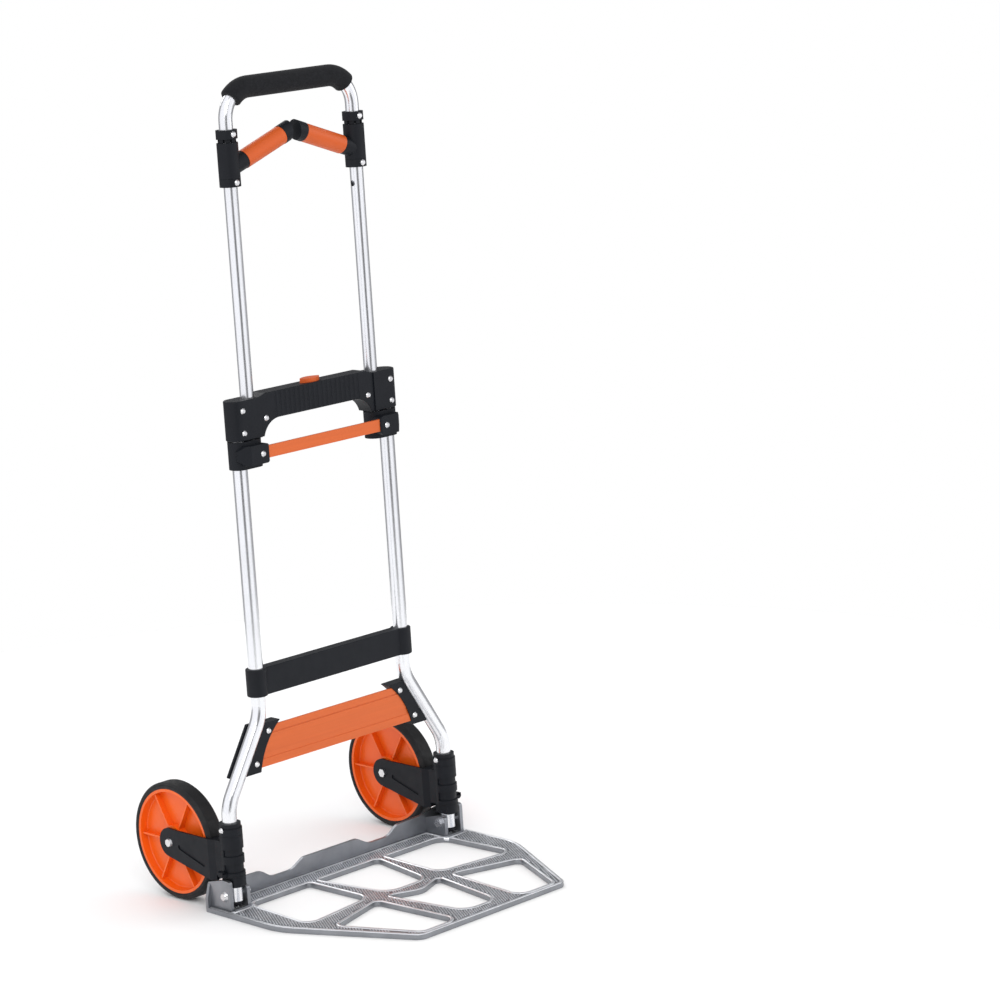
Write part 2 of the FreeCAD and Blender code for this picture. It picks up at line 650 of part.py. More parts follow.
def panel_outline(margin):
    """Front view of the panel, grown by a margin: its ends run along the slanted tubes."""
    slant = (S.column_x - S.rail_x) / (S.bend_high - S.bend_low)
    off = S.rail_r * root(1 + slant * slant) + S.panel_gap - margin
    low, high = S.panel_low - margin, S.panel_high + margin
    right = [(slope_x(low) - off, low), (slope_x(high) - off, high)]
    return right + [(-x, z) for x, z in reversed(right)]


def beside_tube(start):
    """A slanted strip from a distance off the tube's axis to past the bracket's outer edge."""
    slant = (S.column_x - S.rail_x) / (S.bend_high - S.bend_low)
    steep = root(1 + slant * slant)
    near, far = as_size(start) * steep, (S.rail_r + S.bracket_edge) * steep
    low, high = S.bracket_low - S.rail_r, S.bracket_high + S.rail_r
    return [(slope_x(low) + near, low), (slope_x(low) + far, low),
            (slope_x(high) + far, high), (slope_x(high) + near, high)]


def rivet_spots():
    """Right-hand rivets that hold the panel's ends in their bracket."""
    return [(S.rivet_high_x, S.rivet_high_z), (S.rivet_low_x, S.rivet_low_z)]


# ---------------------------------------------------------------- wheel columns

def make_columns():
    """The fixed collars above and below each fork barrel, with their cross bolts."""
    centre = (S.column_x, 0)
    across = (S.column_x - S.column_r - 1, S.column_x + S.column_r + 1)
    top = fuse("collar_stack",
               rod("collar_body", "Z", centre, (S.collar_low, S.collar_high - 7), S.column_r),
               rod("collar_neck", "Z", centre, (S.collar_high - 7, S.collar_high), S.column_r - 1.5))
    seat = rod("collar_seat", "Z", centre, (S.collar_low - 1, S.collar_high + 1), S.rail_r)
    hole = screw_hole("collar_cross_hole", "X", (0, S.collar_bolt_z), across)
    pair("column_collar", cut("column_collar", top, seat, hole))

    base = rod("base_body", "Z", centre, (S.base_low, S.base_high), S.column_r)
    base_tall = (S.base_low - 1, S.base_high + 1)
    flats = []
    for side in (-1, 1):
        near, far = S.column_x + S.base_flat * side, S.column_x + (S.column_r + 1) * side
        span = (near, far) if side > 0 else (far, near)
        flats.append(box("base_flat", span, both(S.column_r + 1), base_tall))
    pair("base_collar", cut("base_collar", base, rod("base_seat", "Z", centre, base_tall, S.rail_r), *flats))
    ends = (S.column_x - S.column_r, S.column_x + S.column_r)
    bolt = screw("column_bolt", "X", (0, S.collar_bolt_z), ends)
    node("column_bolts", with_mirror("column_bolts", bolt))


def fork_side_view():
    """Side view of the fork: barrel at the left, axle end at the right."""
    end_z = S.wheel_r
    neck = S.column_r + S.neck_gap
    return [(0, S.barrel_low), (neck, S.barrel_low), (neck, S.neck_foot), (S.arm_neck_y + 10, S.arm_foot, 3),
            (S.arm_neck_y + 30, S.arm_foot + 4), (S.wheel_y + 4, end_z - S.arm_end_r + 0.4),
            (S.wheel_y + 4, end_z + S.arm_end_r - 0.4), (S.wheel_y - 22, S.arm_top, 20), (0, S.arm_top)]


def fork_plan():
    """Plan of the fork about the column axis: a neck that flares out to the two arms."""
    cx, far = S.column_x, S.wheel_y + S.arm_end_r + 1
    right = [(cx + S.arm_in, 0), (cx + S.arm_in, S.arm_neck_y), (cx + S.arm_out, S.arm_flare_y),
             (cx + S.arm_out, far)]
    left = [(cx - S.arm_out, far), (cx - S.arm_out, S.arm_flare_y), (cx - S.arm_in, S.arm_neck_y),
            (cx - S.arm_in, 0)]
    return right + left


def make_forks():
    cx, gap = S.column_x, S.running_gap
    tall = (S.arm_foot - 1, S.wheel_r + S.arm_end_r + 1)
    outer = (cx - S.arm_out, cx + S.arm_out)
    side = fuse("fork_side", extrude("fork_side_view", "YZ", fork_side_view(), outer),
                rod("fork_end", "X", (S.wheel_y, S.wheel_r), outer, S.arm_end_r))
    arms = common("fork_arms", side, extrude("fork_plan", "XY", fork_plan(), tall))
    barrel = rod("fork_barrel", "Z", (cx, 0), (S.barrel_low, S.barrel_high), S.column_r)
    slot_r = S.wheel_r + S.arm_slot_gap
    slot_span = (cx - S.arm_in, cx + S.arm_in)
    slot = rod("wheel_slot", "X", (S.wheel_y, S.wheel_r), slot_span, slot_r)
    cam = [(cx + S.groove_r - 1, S.cam_low), (cx + S.cam_out - 3, S.cam_low), (cx + S.cam_out, S.cam_low + 3),
           (cx + S.cam_out, S.cam_high - 1), (cx + S.column_r + 3, S.cam_high),
           (cx + S.groove_r - 1, S.cam_low + 3)]
    lever = extrude("fork_cam", "XZ", cam, both(S.cam_half))
    body = cut("fork_slotted", fuse("fork_body", arms, barrel, lever), slot)
    tools = [rod("fork_bore", "Z", (cx, 0), (S.barrel_low - 1, S.barrel_high + 1), S.rail_r + gap),
             rod("axle_hole", "X", (S.wheel_y, S.wheel_r), (cx - S.arm_out - 1, cx + S.arm_out + 1),
                 S.axle_r + S.hole_gap)]
    for low, high in groove_spans():
        ring = cut("groove_ring", rod("groove_out", "Z", (cx, 0), (low, high), S.column_r + 8),
                   rod("groove_in", "Z", (cx, 0), (low, high), S.groove_r))
        front = box("groove_side", (cx - S.column_r - 9, cx + S.column_r + 9),
                    (-S.column_r - 9, -1), (low, high))
        tools.append(common("groove", ring, front))
    low_end, high_end = S.arm_flare_y + 10, S.wheel_y - 20
    pocket = [(low_end, S.arm_foot + 17, 2), (high_end, S.wheel_r - 6, 2),
              (high_end, S.wheel_r + 1, 2), (low_end, S.arm_foot + 22, 2)]
    shallow, past = S.arm_out - S.arm_pocket, S.arm_out + 1
    for low, high in ((-past, -shallow), (shallow, past)):
        tools.append(extrude("arm_pocket", "YZ", pocket, (cx + low, cx + high)))
    pair("fork", cut("fork", body, *tools))

    seat, head = S.arm_out, S.arm_out + 3.5
    spot = (S.wheel_y, S.wheel_r)
    pair("axle_bolt", fuse("axle_bolt",
                           rod("axle_shank", "X", spot, (cx - head, cx + seat), S.axle_r),
                           cone("axle_head", "X", spot, (cx + seat, cx + head), S.axle_head_r,
                                S.axle_head_r - 1.2)))
    nut = cut("axle_nut", hexagon("axle_nut_body", spot, (cx - head, cx - seat), S.axle_head_r),
              rod("axle_nut_bore", "X", spot, (cx - head - 1, cx), S.axle_r))
    pair("axle_nut", nut)


def groove_spans():
    """The recessed bands around the barrel, low to high."""
    return [(S.groove_low, S.groove_low_top), (S.groove_high, S.groove_high_top)]


def hexagon(name, spot, span, radius):
    """A hexagonal prism along X, drawn about its own centre."""
    corners = [(spot[0] + radius * math.cos(math.radians(60 * i)),
                spot[1] + radius * math.sin(math.radians(60 * i))) for i in range(6)]
    return extrude(name, "YZ", corners, span)


# ---------------------------------------------------------------- wheels

def make_wheels():
    cx, spot = S.column_x, (S.wheel_y, S.wheel_r)
    at = (cx, S.wheel_y, S.wheel_r)
    half, deep = S.hub_half, S.web_thick / 2
    bore = S.bush_r
    profile = [(bore, -half), (S.hub_r, -half), (S.hub_r, -deep), (S.rim_in, -deep, 2),
               (S.rim_in + 1.5, -half), (S.rim_r, -half), (S.rim_r, half), (S.rim_in + 1.5, half),
               (S.rim_in, deep, 2), (S.hub_r, deep), (S.hub_r, half), (bore, half)]
    hub = spin("hub_wheel", "X", profile, at)
    ribs = []
    for index in range(6):
        rib = box("rib", both(S.rib_half), both(S.rib_thick / 2), (S.hub_r - 2, S.rim_in + 1))
        rib.Placement = Placement(Vector(), Rotation(AXES["X"], 60 * index + 30))
        angle = math.radians(60 * index + 30)
        near, thin = S.hub_r - 2, S.rib_thick / 2
        place(rib, cx - S.rib_half, S.wheel_y - near * math.sin(angle) - thin * math.cos(angle),
              S.wheel_r + near * math.cos(angle) - thin * math.sin(angle))
        ribs.append(rib)
    pair("wheel_hub", fuse("wheel_hub", hub, *ribs))

    tread, crown = S.wheel_half, S.wheel_r
    tyre = [(S.rim_r, -half), (S.rim_r + 2, -tread, 1), (crown - 4, -tread, 3), (crown, -tread + 5, 4),
            (crown, tread - 5, 4), (crown - 4, tread, 3), (S.rim_r + 2, tread, 1), (S.rim_r, half)]
    pair("tyre", spin("tyre", "X", tyre, at))

    inner = S.axle_r + S.running_gap
    bushes = []
    for side in (-1, 1):
        face = half * side
        out = face + S.bush_flange * side
        back = face - 10 * side
        low, high = (back, out) if side > 0 else (out, back)
        rim = (face, out) if side > 0 else (out, face)
        body = fuse("bush_body", rod("bush_sleeve", "X", spot, (cx + low, cx + high), S.bush_r),
                    rod("bush_flange", "X", spot, (cx + rim[0], cx + rim[1]), S.bush_flange_r))
        bushes.append(cut("bush", body, rod("bush_bore", "X", spot, (cx + low - 1, cx + high + 1), inner)))
    pair("wheel_bushes", group("wheel_bushes", *bushes))


# ---------------------------------------------------------------- toe plate

def plate_outline():
    """Plan of the toe plate, from its back corner round to the front."""
    corner = S.plate_corner
    right = [(S.plate_half, S.plate_back, 4), (S.plate_half, -S.plate_side, S.plate_shoulder),
             (S.plate_nose + 12, -S.plate_front, corner)]
    ordered = [(S.plate_half, S.plate_back, 4)]
    ordered += [(-S.plate_half, S.plate_back, 4), (-S.plate_half, -S.plate_side, S.plate_shoulder),
                (-S.plate_nose - 12, -S.plate_front, corner)]
    return ordered + right[:0:-1]


def plate_windows():
    """The right-hand and middle windows of the toe plate, as rounded outlines. A corner is given
    as shares of the plate's half width and of its reach in front of the hinge."""
    back_outer = [(0.318, 0.013, 6), (0.804, 0.013, 22), (0.837, 0.456, 16), (0.302, 0.399, 20)]
    front_outer = [(0.318, 0.475, 8), (0.763, 0.582, 10), (0.539, 0.959, 12), (0.269, 0.959, 18)]
    middle = [(0.253, 0.013, 8), (0.155, 0.424, 26), (-0.155, 0.424, 26), (-0.253, 0.013, 8)]
    front = [(0.212, 0.462, 6), (0.122, 0.905, 24), (-0.122, 0.905, 24), (-0.212, 0.462, 6),
             (0.0, 0.532, 30)]
    return [on_plate(back_outer), on_plate(front_outer)], [on_plate(middle), on_plate(front)]


def on_plate(corners):
    """Turns shares of the plate into corners in its plan."""
    return [(S.plate_half * across, -S.plate_front * ahead, radius) for across, ahead, radius in corners]


def make_toe_plate():
    top = S.plate_top
    deck = extrude("plate_deck", "XY", plate_outline(), (0, top))
    parts = [deck]
    for side in (-1, 1):
        for near, front, height in ((S.ear_in, S.ear_front, S.ear_in_top),
                                    (S.ear_out, S.ear_front, S.ear_out_top)):
            low, high = (near, near + S.ear_thick)
            span = (low, high) if side > 0 else (-high, -low)
            ear = [(-front, 0), (S.plate_back, 0), (S.plate_back, height - 8, 2),
                   (4, height, 5), (-front, height, 5)]
            parts.append(extrude("ear", "YZ", ear, span))
        sill = (S.ear_in + 1, S.ear_out + 1)
        span = sill if side > 0 else (-sill[1], -sill[0])
        parts.append(box("sill", span, (-S.ear_front - S.sill_deep, -S.ear_front), (0, S.sill_top)))
    parts.append(extrude("back_lip", "XZ", lip_outline(), (S.flange_y, S.plate_back)))
    body = fuse("plate_body", *parts)
    tools = []
    side_windows, middle_windows = plate_windows()
    through = (-1, top + 1)
    for corners in side_windows:
        window = extrude("window", "XY", corners, through)
        tools += [window, mirror("window_mirror", window)]
    tools += [extrude("middle_window", "XY", corners, through) for corners in middle_windows]
    for side in (-1, 1):
        inner, outer = S.ear_in - 1, S.ear_out + S.ear_thick + 1
        span = (inner, outer) if side > 0 else (-outer, -inner)
        tools.append(rod("ear_bore", "X", (0, S.hinge_z), span, S.hinge_r + S.hole_gap))
    node("toe_plate", cut("toe_plate", body, *tools))

    out = S.ear_out + S.ear_thick
    spot = (0, S.hinge_z)
    inside = S.ear_in - 5
    bolt = fuse("hinge_bolt", rod("hinge_shank", "X", spot, (inside, out), S.hinge_r),
                cone("hinge_head", "X", spot, (out, out + S.hinge_head),
                     S.hinge_head_r, S.hinge_head_r - 2.5))
    node("hinge_bolts", with_mirror("hinge_bolts", bolt))
    nut = cut("hinge_nut", hexagon("hinge_nut_body", spot, (inside, S.ear_in), S.hinge_nut_r),
              rod("hinge_nut_bore", "X", spot, (inside - 1, S.ear_in + 1), S.hinge_r))
    node("hinge_nuts", with_mirror("hinge_nuts", nut))


def lip_outline():
    """Back view of the upturned lip: high at the ears, dipped behind each wheel, high in the middle."""
    out, dip = S.plate_half, S.lip_dip_x
    right = [(out, 0), (out, S.lip_low, 4), (S.ear_out + S.ear_thick, S.lip_high + 8, 4),
             (S.ear_in - 8, S.lip_high, 8), (dip + S.lip_dip_half - 14, S.lip_high - 1, 20),
             (dip + 20, S.lip_low, 30), (dip - 20, S.lip_low, 30),
             (dip - S.lip_dip_half + 10, S.lip_high - 2, 12)]
    return right + [(-c[0], *c[1:]) for c in reversed(right)]


# ---------------------------------------------------------------- handle

def handle_path():
    """The centre line of the U-shaped handle tube."""
    x, top, bend = S.handle_x, S.handle_top, S.handle_bend
    return [(-x, S.handle_foot), (-x, top, bend), (x, top, bend), (x, S.handle_foot)]


def make_handle():
    tools = [sweep("handle_bore_line", handle_path(), S.handle_r - S.handle_wall)]
    for side in (-1, 1):
        inner = S.handle_x - S.handle_r - 1
        span = (inner, S.handle_x) if side > 0 else (-S.handle_x, -inner)
        for height in (S.lock_z, S.lock_z + S.handle_travel):
            tools.append(rod("lock_hole", "X", (0, height), span, S.pin_r + S.slide_gap))
        for height in collar_rivet_levels():
            tools.append(screw_hole("collar_rivet_hole", "Y", (S.handle_x * side, height),
                                    both(S.handle_r + 1)))
        tools.append(screw_hole("foot_hole", "Y", (S.strap_screw_x * side, S.strap_screw_z),
                                both(S.handle_r + 1)))
    node("handle_tube", cut("handle_tube", sweep("handle_bar", handle_path(), S.handle_r), *tools))

    straight = S.handle_x - S.handle_bend
    parts, bores = [], []
    for made, radius in ((parts, S.foam_r), (bores, S.handle_r)):
        made.append(rod("foam_straight", "X", (0, S.handle_top), both(straight), radius))
        for side in (-1, 1):
            made.append(foam_bend(side, radius))
    node("foam_grip", cut("foam_grip", fuse("foam_body", *parts), fuse("foam_bore", *bores)))


def foam_bend(side, radius):
    """The part of the foam that follows a bend: a sector of a torus about the bend's centre."""
    item = doc.addObject("Part::Torus", "foam_bend")
    bind(item, "Radius1", S.handle_bend)
    bind(item, "Radius2", radius)
    bind(item, "Angle3", S.foam_turn)
    upright = Rotation(AXES["X"], 90)
    turn = 90 - S.foam_turn.value if side > 0 else 90
    item.Placement = Placement(Vector(), Rotation(AXES["Y"], -turn).multiply(upright))
    place(item, (S.handle_x - S.handle_bend) * side, 0, S.handle_top - S.handle_bend)
    return item


def collar_rivet_levels():
    """Heights of the rivets in the lower and upper grip collars."""
    return [(S.grip_low + S.sleeve_low) / 2, (S.ring_high + S.grip_high) / 2]


def make_grips():
    """The grip collars fixed on the handle, and the grips that swivel between them."""
    cx, centre = S.handle_x, (S.handle_x, 0)
    far = S.mount_r + 1
    low_level, high_level = collar_rivet_levels()
    seat = (S.grip_low - 1, S.grip_high + 1)
    low = rod("low_collar", "Z", centre, (S.grip_low, S.sleeve_low - S.end_gap), S.mount_r)
    pair("grip_collar_lower",
         cut("grip_collar_lower", low, rod("low_collar_seat", "Z", centre, seat, S.handle_r),
             screw_hole("low_collar_hole", "Y", (cx, low_level), both(far))))
    notches = []
    for index in range(RING_NOTCHES):
        angle = math.radians(360 * index / RING_NOTCHES + 15)
        spot = (cx + (S.handle_r + S.notch_r) * math.cos(angle), (S.handle_r + S.notch_r) * math.sin(angle))
        notches.append(rod("ring_notch", "Z", spot, (S.sleeve_high - 1, S.ring_high), S.notch_r))
    high = fuse("high_collar", rod("high_collar_body", "Z", centre, (S.ring_high, S.grip_high), S.mount_r),
                rod("high_collar_ring", "Z", centre, (S.sleeve_high, S.ring_high), S.ring_r))
    pair("grip_collar_upper",
         cut("grip_collar_upper", high, rod("high_collar_seat", "Z", centre, seat, S.handle_r),
             screw_hole("high_collar_hole", "Y", (cx, high_level), both(far)), *notches))
    rivets = [screw("collar_rivet", "Y", (cx, level), both(S.mount_r)) for level in (low_level, high_level)]
    node("grip_collar_rivets", with_mirror("grip_collar_rivets", *rivets))

    sleeve = rod("sleeve_body", "Z", centre, (S.sleeve_low, S.sleeve_high - S.end_gap), S.mount_r)
    bore = rod("sleeve_bore", "Z", centre, seat, S.handle_r + S.running_gap)
    body = fuse("sleeve_arm", sleeve, slanted("grip_stub", 0, S.cover_start, S.stub_r),
                slanted("grip_core", 0, S.cover_end, S.core_r))
    pair("grip_sleeve", cut("grip_sleeve", body, bore))
    pair("grip_cover", cut("grip_cover", slanted("cover_body", S.cover_start, S.cover_end, S.cover_r),
                           slanted("cover_bore", 0, S.cover_end + 1, S.core_r)))
    cap = slanted("cap_body", S.cover_end, S.cover_end + 30, S.cap_r)
    clear = box("cap_side", (S.cap_plane, S.handle_x), both(S.cap_r + 1), (S.grip_low, S.grip_high + 40))
    pair("grip_cap", common("grip_cap", cap, clear))


def slanted(name, start, end, radius):
    """A cylinder on the grip's rising axis, between two distances from the handle tube's axis."""
    item = doc.addObject("Part::Cylinder", name)
    bind(item, "Radius", radius)
    bind(item, "Height", as_size(end) - start)
    item.Placement = Placement(Vector(), Rotation(AXES["Y"], S.grip_rise.value - 90))
    place(item, S.handle_x - start * wave("cos", S.grip_rise), 0,
          S.grip_z + start * wave("sin", S.grip_rise))
    return item


# ---------------------------------------------------------------- slider

def make_slider():
    span = (S.slider_low, S.slider_high)
    deep = S.lug_front + 2
    body = fuse("slider_body",
                box("slider_middle", (S.handle_x, S.rail_x), both(S.slider_r), span),
                rod("slider_inner", "Z", (S.handle_x, 0), span, S.slider_r),
                rod("slider_outer", "Z", (S.rail_x, 0), span, S.slider_r),
                common("slider_lug", extrude("lug_body", "XY", lug_plan(), (S.lug_low, S.lug_high)),
                       extrude("lug_face", "XZ", lug_outline(), (-deep, 0))))
    tall = (S.slider_low - 1, S.slider_high + 1)
    strap = strap_span()
    tools = [rod("slider_bore", "Z", (S.rail_x, 0), tall, S.rail_r + S.slide_gap),
             rod("slider_seat", "Z", (S.handle_x, 0), (S.handle_foot, S.slider_high + 1), S.handle_r),
             box("strap_socket", (S.lug_in - 5, S.strap_half), strap, (S.strap_low, S.strap_high)),
             screw_hole("slider_hole", "Y", (S.strap_screw_x, S.strap_screw_z), (-deep, deep))]
    pair("slider", cut("slider", body, *tools))

    bar = box("strap_bar", both(S.strap_half), strap, (S.strap_low, S.strap_high))
    holes = [screw_hole("strap_hole", "Y", (S.strap_screw_x * side, S.strap_screw_z), (-deep, 0))
             for side in (-1, 1)]
    node("slider_strap", cut("slider_strap", bar, *holes))
    item = screw("slider_screw", "Y", (S.strap_screw_x, S.strap_screw_z), (-S.lug_front, S.slider_r))
    node("slider_screws", with_mirror("slider_screws", item))


def strap_span():
    """Front-to-back span of the strap."""
    return (-S.strap_front, -S.strap_front + S.strap_thick)


def lug_outline():
    """Front view of the slider's lug: round at the strap, cut off at its outer corners."""
    cut_in, out = S.lug_out - S.lug_chamfer - 3, S.lug_out
    return [(S.lug_in, S.lug_low, S.lug_round), (cut_in, S.lug_low), (out, S.lug_low + S.lug_chamfer),
            (out, S.lug_high - S.lug_chamfer), (cut_in, S.lug_high), (S.lug_in, S.lug_high, S.lug_round)]


def lug_plan():
    """Plan of the slider's front lug, with its outer corner cut off."""
    return [(S.lug_in, 0), (S.lug_in, -S.lug_front, 3), (S.lug_out - S.lug_chamfer - 8, -S.lug_front),
            (S.lug_out, -S.slider_r + 2), (S.lug_out - 4, 0)]


# ---------------------------------------------------------------- checks and export

def check_all():
    """Stops the build if any object failed or any sub-part's shape is unsound."""
    for item in doc.Objects:
        if {"Invalid", "Error"} & set(item.State):
            raise RuntimeError(f"{item.Name} ({item.TypeId}) failed: {item.State}")
    for label, item in nodes.items():
        if item.Shape.isNull() or not item.Shape.isValid() or not item.Shape.Solids:
            raise RuntimeError(f"{label} has no sound shape")


def main():
    for make in (make_frame_tubes, make_crossbar, make_button, make_lower_crossbar, make_brackets,
                 make_columns, make_forks, make_wheels, make_toe_plate, make_handle, make_grips,
                 make_slider):
        make()
    doc.recompute()
    check_all()
    os.makedirs("parts", exist_ok=True)
    for label, item in nodes.items():
        item.Shape.exportStep(f"parts/{label}.step")
    print(f"{len(nodes)} sub-parts written")


main()
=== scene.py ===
"""The looks of a folding hand truck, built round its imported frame.

Every length is in metres, in the frame of the CAD model: +Z up, -Y towards the loading side.
"""

import json
import logging
import math
from dataclasses import dataclass, field
from enum import Enum

import bmesh
import bpy
from mathutils import Matrix, Quaternion, Vector
from mathutils.bvhtree import BVHTree


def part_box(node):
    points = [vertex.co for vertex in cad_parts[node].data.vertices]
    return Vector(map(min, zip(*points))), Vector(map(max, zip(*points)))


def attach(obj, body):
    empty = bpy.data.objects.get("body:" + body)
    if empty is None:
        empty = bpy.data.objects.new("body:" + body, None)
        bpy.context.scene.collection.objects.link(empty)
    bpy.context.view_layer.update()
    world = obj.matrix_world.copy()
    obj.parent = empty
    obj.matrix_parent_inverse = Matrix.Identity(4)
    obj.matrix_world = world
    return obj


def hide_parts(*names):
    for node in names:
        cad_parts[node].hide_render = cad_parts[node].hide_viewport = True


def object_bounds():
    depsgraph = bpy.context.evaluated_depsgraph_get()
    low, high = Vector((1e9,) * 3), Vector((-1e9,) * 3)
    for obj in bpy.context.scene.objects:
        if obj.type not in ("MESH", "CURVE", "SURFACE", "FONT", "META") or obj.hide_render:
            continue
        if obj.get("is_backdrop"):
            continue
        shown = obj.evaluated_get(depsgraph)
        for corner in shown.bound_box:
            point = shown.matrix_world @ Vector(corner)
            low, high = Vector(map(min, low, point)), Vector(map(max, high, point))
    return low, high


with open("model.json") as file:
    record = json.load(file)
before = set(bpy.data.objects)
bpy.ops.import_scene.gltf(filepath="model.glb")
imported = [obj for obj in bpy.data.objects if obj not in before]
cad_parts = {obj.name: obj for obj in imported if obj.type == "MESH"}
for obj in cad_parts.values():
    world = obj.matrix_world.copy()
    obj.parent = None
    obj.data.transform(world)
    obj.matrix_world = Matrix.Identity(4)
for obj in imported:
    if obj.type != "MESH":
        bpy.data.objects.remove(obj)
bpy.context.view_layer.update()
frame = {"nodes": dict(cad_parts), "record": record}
LOG = logging.getLogger("hand_truck")
Colour = tuple[float, float, float]
WELD = 1e-6
RAMP_ENDS = (0.32, 0.68)
X_AXIS, Y_AXIS, Z_AXIS = Vector((1, 0, 0)), Vector((0, 1, 0)), Vector((0, 0, 1))


class Slot(Enum):
    """The record's material slots."""

    TUBE = "tube_aluminium"
    BLACK = "black_plastic"
    ORANGE = "orange_plastic"
    HUB = "hub_orange"
    COATED = "orange_coated"
    FOAM = "foam"
    TYRE = "tyre_rubber"
    PLATE = "plate_grey"
    ZINC = "zinc_steel"
    SPRING = "spring_steel"
    BUSH = "bush_grey"


class PaintedHighlight(Enum):
    """Lighter finishes for raised metal: a painted highlight, with ribs and bead coloured brighter than
    their slot.
    """

    RIBS = "plate_painted_highlight"


# ------------------------------------------------------------------ materials


class Shader:
    """A node material put together step by step around one Principled shader."""

    def __init__(self, name: str) -> None:
        """Starts an empty material.

        Args:
            name: the material's name.
        """
        self.material = bpy.data.materials.new(name)
        self.material.use_nodes = True
        self.tree = self.material.node_tree
        self.surface = self.tree.nodes["Principled BSDF"]
        self.coordinates = self.tree.nodes.new("ShaderNodeTexCoord").outputs["Object"]

    def constant(self, socket: str, value: float | Colour) -> None:
        """Sets one of the shader's own sockets.

        Args:
            socket: the socket's name.
            value: a number or a colour.
        """
        colour = isinstance(value, tuple)
        self.surface.inputs[socket].default_value = (*value, 1.0) if colour else value

    def stretched(self, scale: Colour) -> bpy.types.NodeSocket:
        """Gives object coordinates scaled differently along each axis.

        Args:
            scale: the factor along X, Y and Z.

        Returns:
            The scaled coordinates.
        """
        mapping = self.tree.nodes.new("ShaderNodeMapping")
        mapping.inputs["Scale"].default_value = scale
        self.tree.links.new(self.coordinates, mapping.inputs["Vector"])
        return mapping.outputs["Vector"]

    def noise(
        self, scale: float, detail: float = 3.0, coordinates: bpy.types.NodeSocket | None = None
    ) -> bpy.types.NodeSocket:
        """Adds a noise pattern.

        Args:
            scale: how fine the pattern is, per metre.
            detail: how many octaves it has.
            coordinates: where it is read, object coordinates if None.

        Returns:
            The pattern's value.
        """
        node = self.tree.nodes.new("ShaderNodeTexNoise")
        node.inputs["Scale"].default_value = scale
        node.inputs["Detail"].default_value = detail
        self.tree.links.new(coordinates or self.coordinates, node.inputs["Vector"])
        return node.outputs["Fac"]

    def cells(self, scale: float) -> bpy.types.NodeSocket:
        """Adds a cell pattern, as in foam or pebbled moulding.

        Args:
            scale: how fine the cells are, per metre.

        Returns:
            The distance from each cell's centre.
        """
        node = self.tree.nodes.new("ShaderNodeTexVoronoi")
        node.inputs["Scale"].default_value = scale
        self.tree.links.new(self.coordinates, node.inputs["Vector"])
        return node.outputs["Distance"]

    def spread(
        self, source: bpy.types.NodeSocket, low: float, high: float, start: float = 0.3, end: float = 0.7
    ) -> bpy.types.NodeSocket:
        """Maps a pattern's value from one range to another.

        Args:
            source: the pattern.
            low: the value at its start.
            high: the value at its end.
            start: where the pattern's range starts.
            end: where the pattern's range ends.

        Returns:
            The mapped value.
        """
        node = self.tree.nodes.new("ShaderNodeMapRange")
        for name, value in zip(("From Min", "From Max", "To Min", "To Max"), (start, end, low, high)):
            node.inputs[name].default_value = value
        self.tree.links.new(source, node.inputs["Value"])
        return node.outputs["Result"]

    def tint(self, source: bpy.types.NodeSocket, dark: Colour, light: Colour) -> None:
        """Colours the surface by a pattern.

        Args:
            source: the pattern.
            dark: the colour at its low end.
            light: the colour at its high end.
        """
        ramp = self.tree.nodes.new("ShaderNodeValToRGB")
        for stop, place, colour in zip(ramp.color_ramp.elements, RAMP_ENDS, (dark, light)):
            stop.position, stop.color = place, (*colour, 1.0)
        self.tree.links.new(source, ramp.inputs["Fac"])
        self.tree.links.new(ramp.outputs["Color"], self.surface.inputs["Base Color"])

    def roughen(self, source: bpy.types.NodeSocket, low: float, high: float) -> None:
        """Varies the roughness by a pattern.

        Args:
            source: the pattern.
            low: the roughness at its low end.
            high: the roughness at its high end.
        """
        self.tree.links.new(self.spread(source, low, high), self.surface.inputs["Roughness"])

    def bump(self, source: bpy.types.NodeSocket, distance: float, strength: float = 0.6) -> None:
        """Adds fine relief on top of the relief already there.

        Args:
            source: the pattern that gives the height.
            distance: the height of the relief in metres.
            strength: how strongly it shows.
        """
        node = self.tree.nodes.new("ShaderNodeBump")
        node.inputs["Distance"].default_value = distance
        node.inputs["Strength"].default_value = strength
        self.tree.links.new(source, node.inputs["Height"])
        normal = self.surface.inputs["Normal"]
        if normal.links:
            self.tree.links.new(normal.links[0].from_socket, node.inputs["Normal"])
        self.tree.links.new(node.outputs["Normal"], normal)


def shade(colour: Colour, factor: float) -> Colour:
    """Makes a colour darker or lighter.

    Args:
        colour: the colour.
        factor: what each of its channels is multiplied by.

    Returns:
        The new colour.
    """
    return (colour[0] * factor, colour[1] * factor, colour[2] * factor)


@dataclass(frozen=True)
class DrawnAluminium:
    """Satin anodised tube with the fine lines that drawing leaves along it."""

    colour: Colour = (0.89, 0.90, 0.925)
    line_scale: Colour = (900.0, 900.0, 14.0)

    def make(self, name: str) -> bpy.types.Material:
        """Builds the finish.

        Args:
            name: the material's name.

        Returns:
            The material.
        """
        shader = Shader(name)
        lines = shader.noise(1.0, 2.0, shader.stretched(self.line_scale))
        cloud = shader.noise(22.0, 2.0)
        shader.tint(cloud, shade(self.colour, 0.95), self.colour)
        shader.constant("Metallic", 0.96)
        shader.roughen(lines, 0.16, 0.23)
        shader.bump(lines, 0.00002, 0.25)
        return shader.material


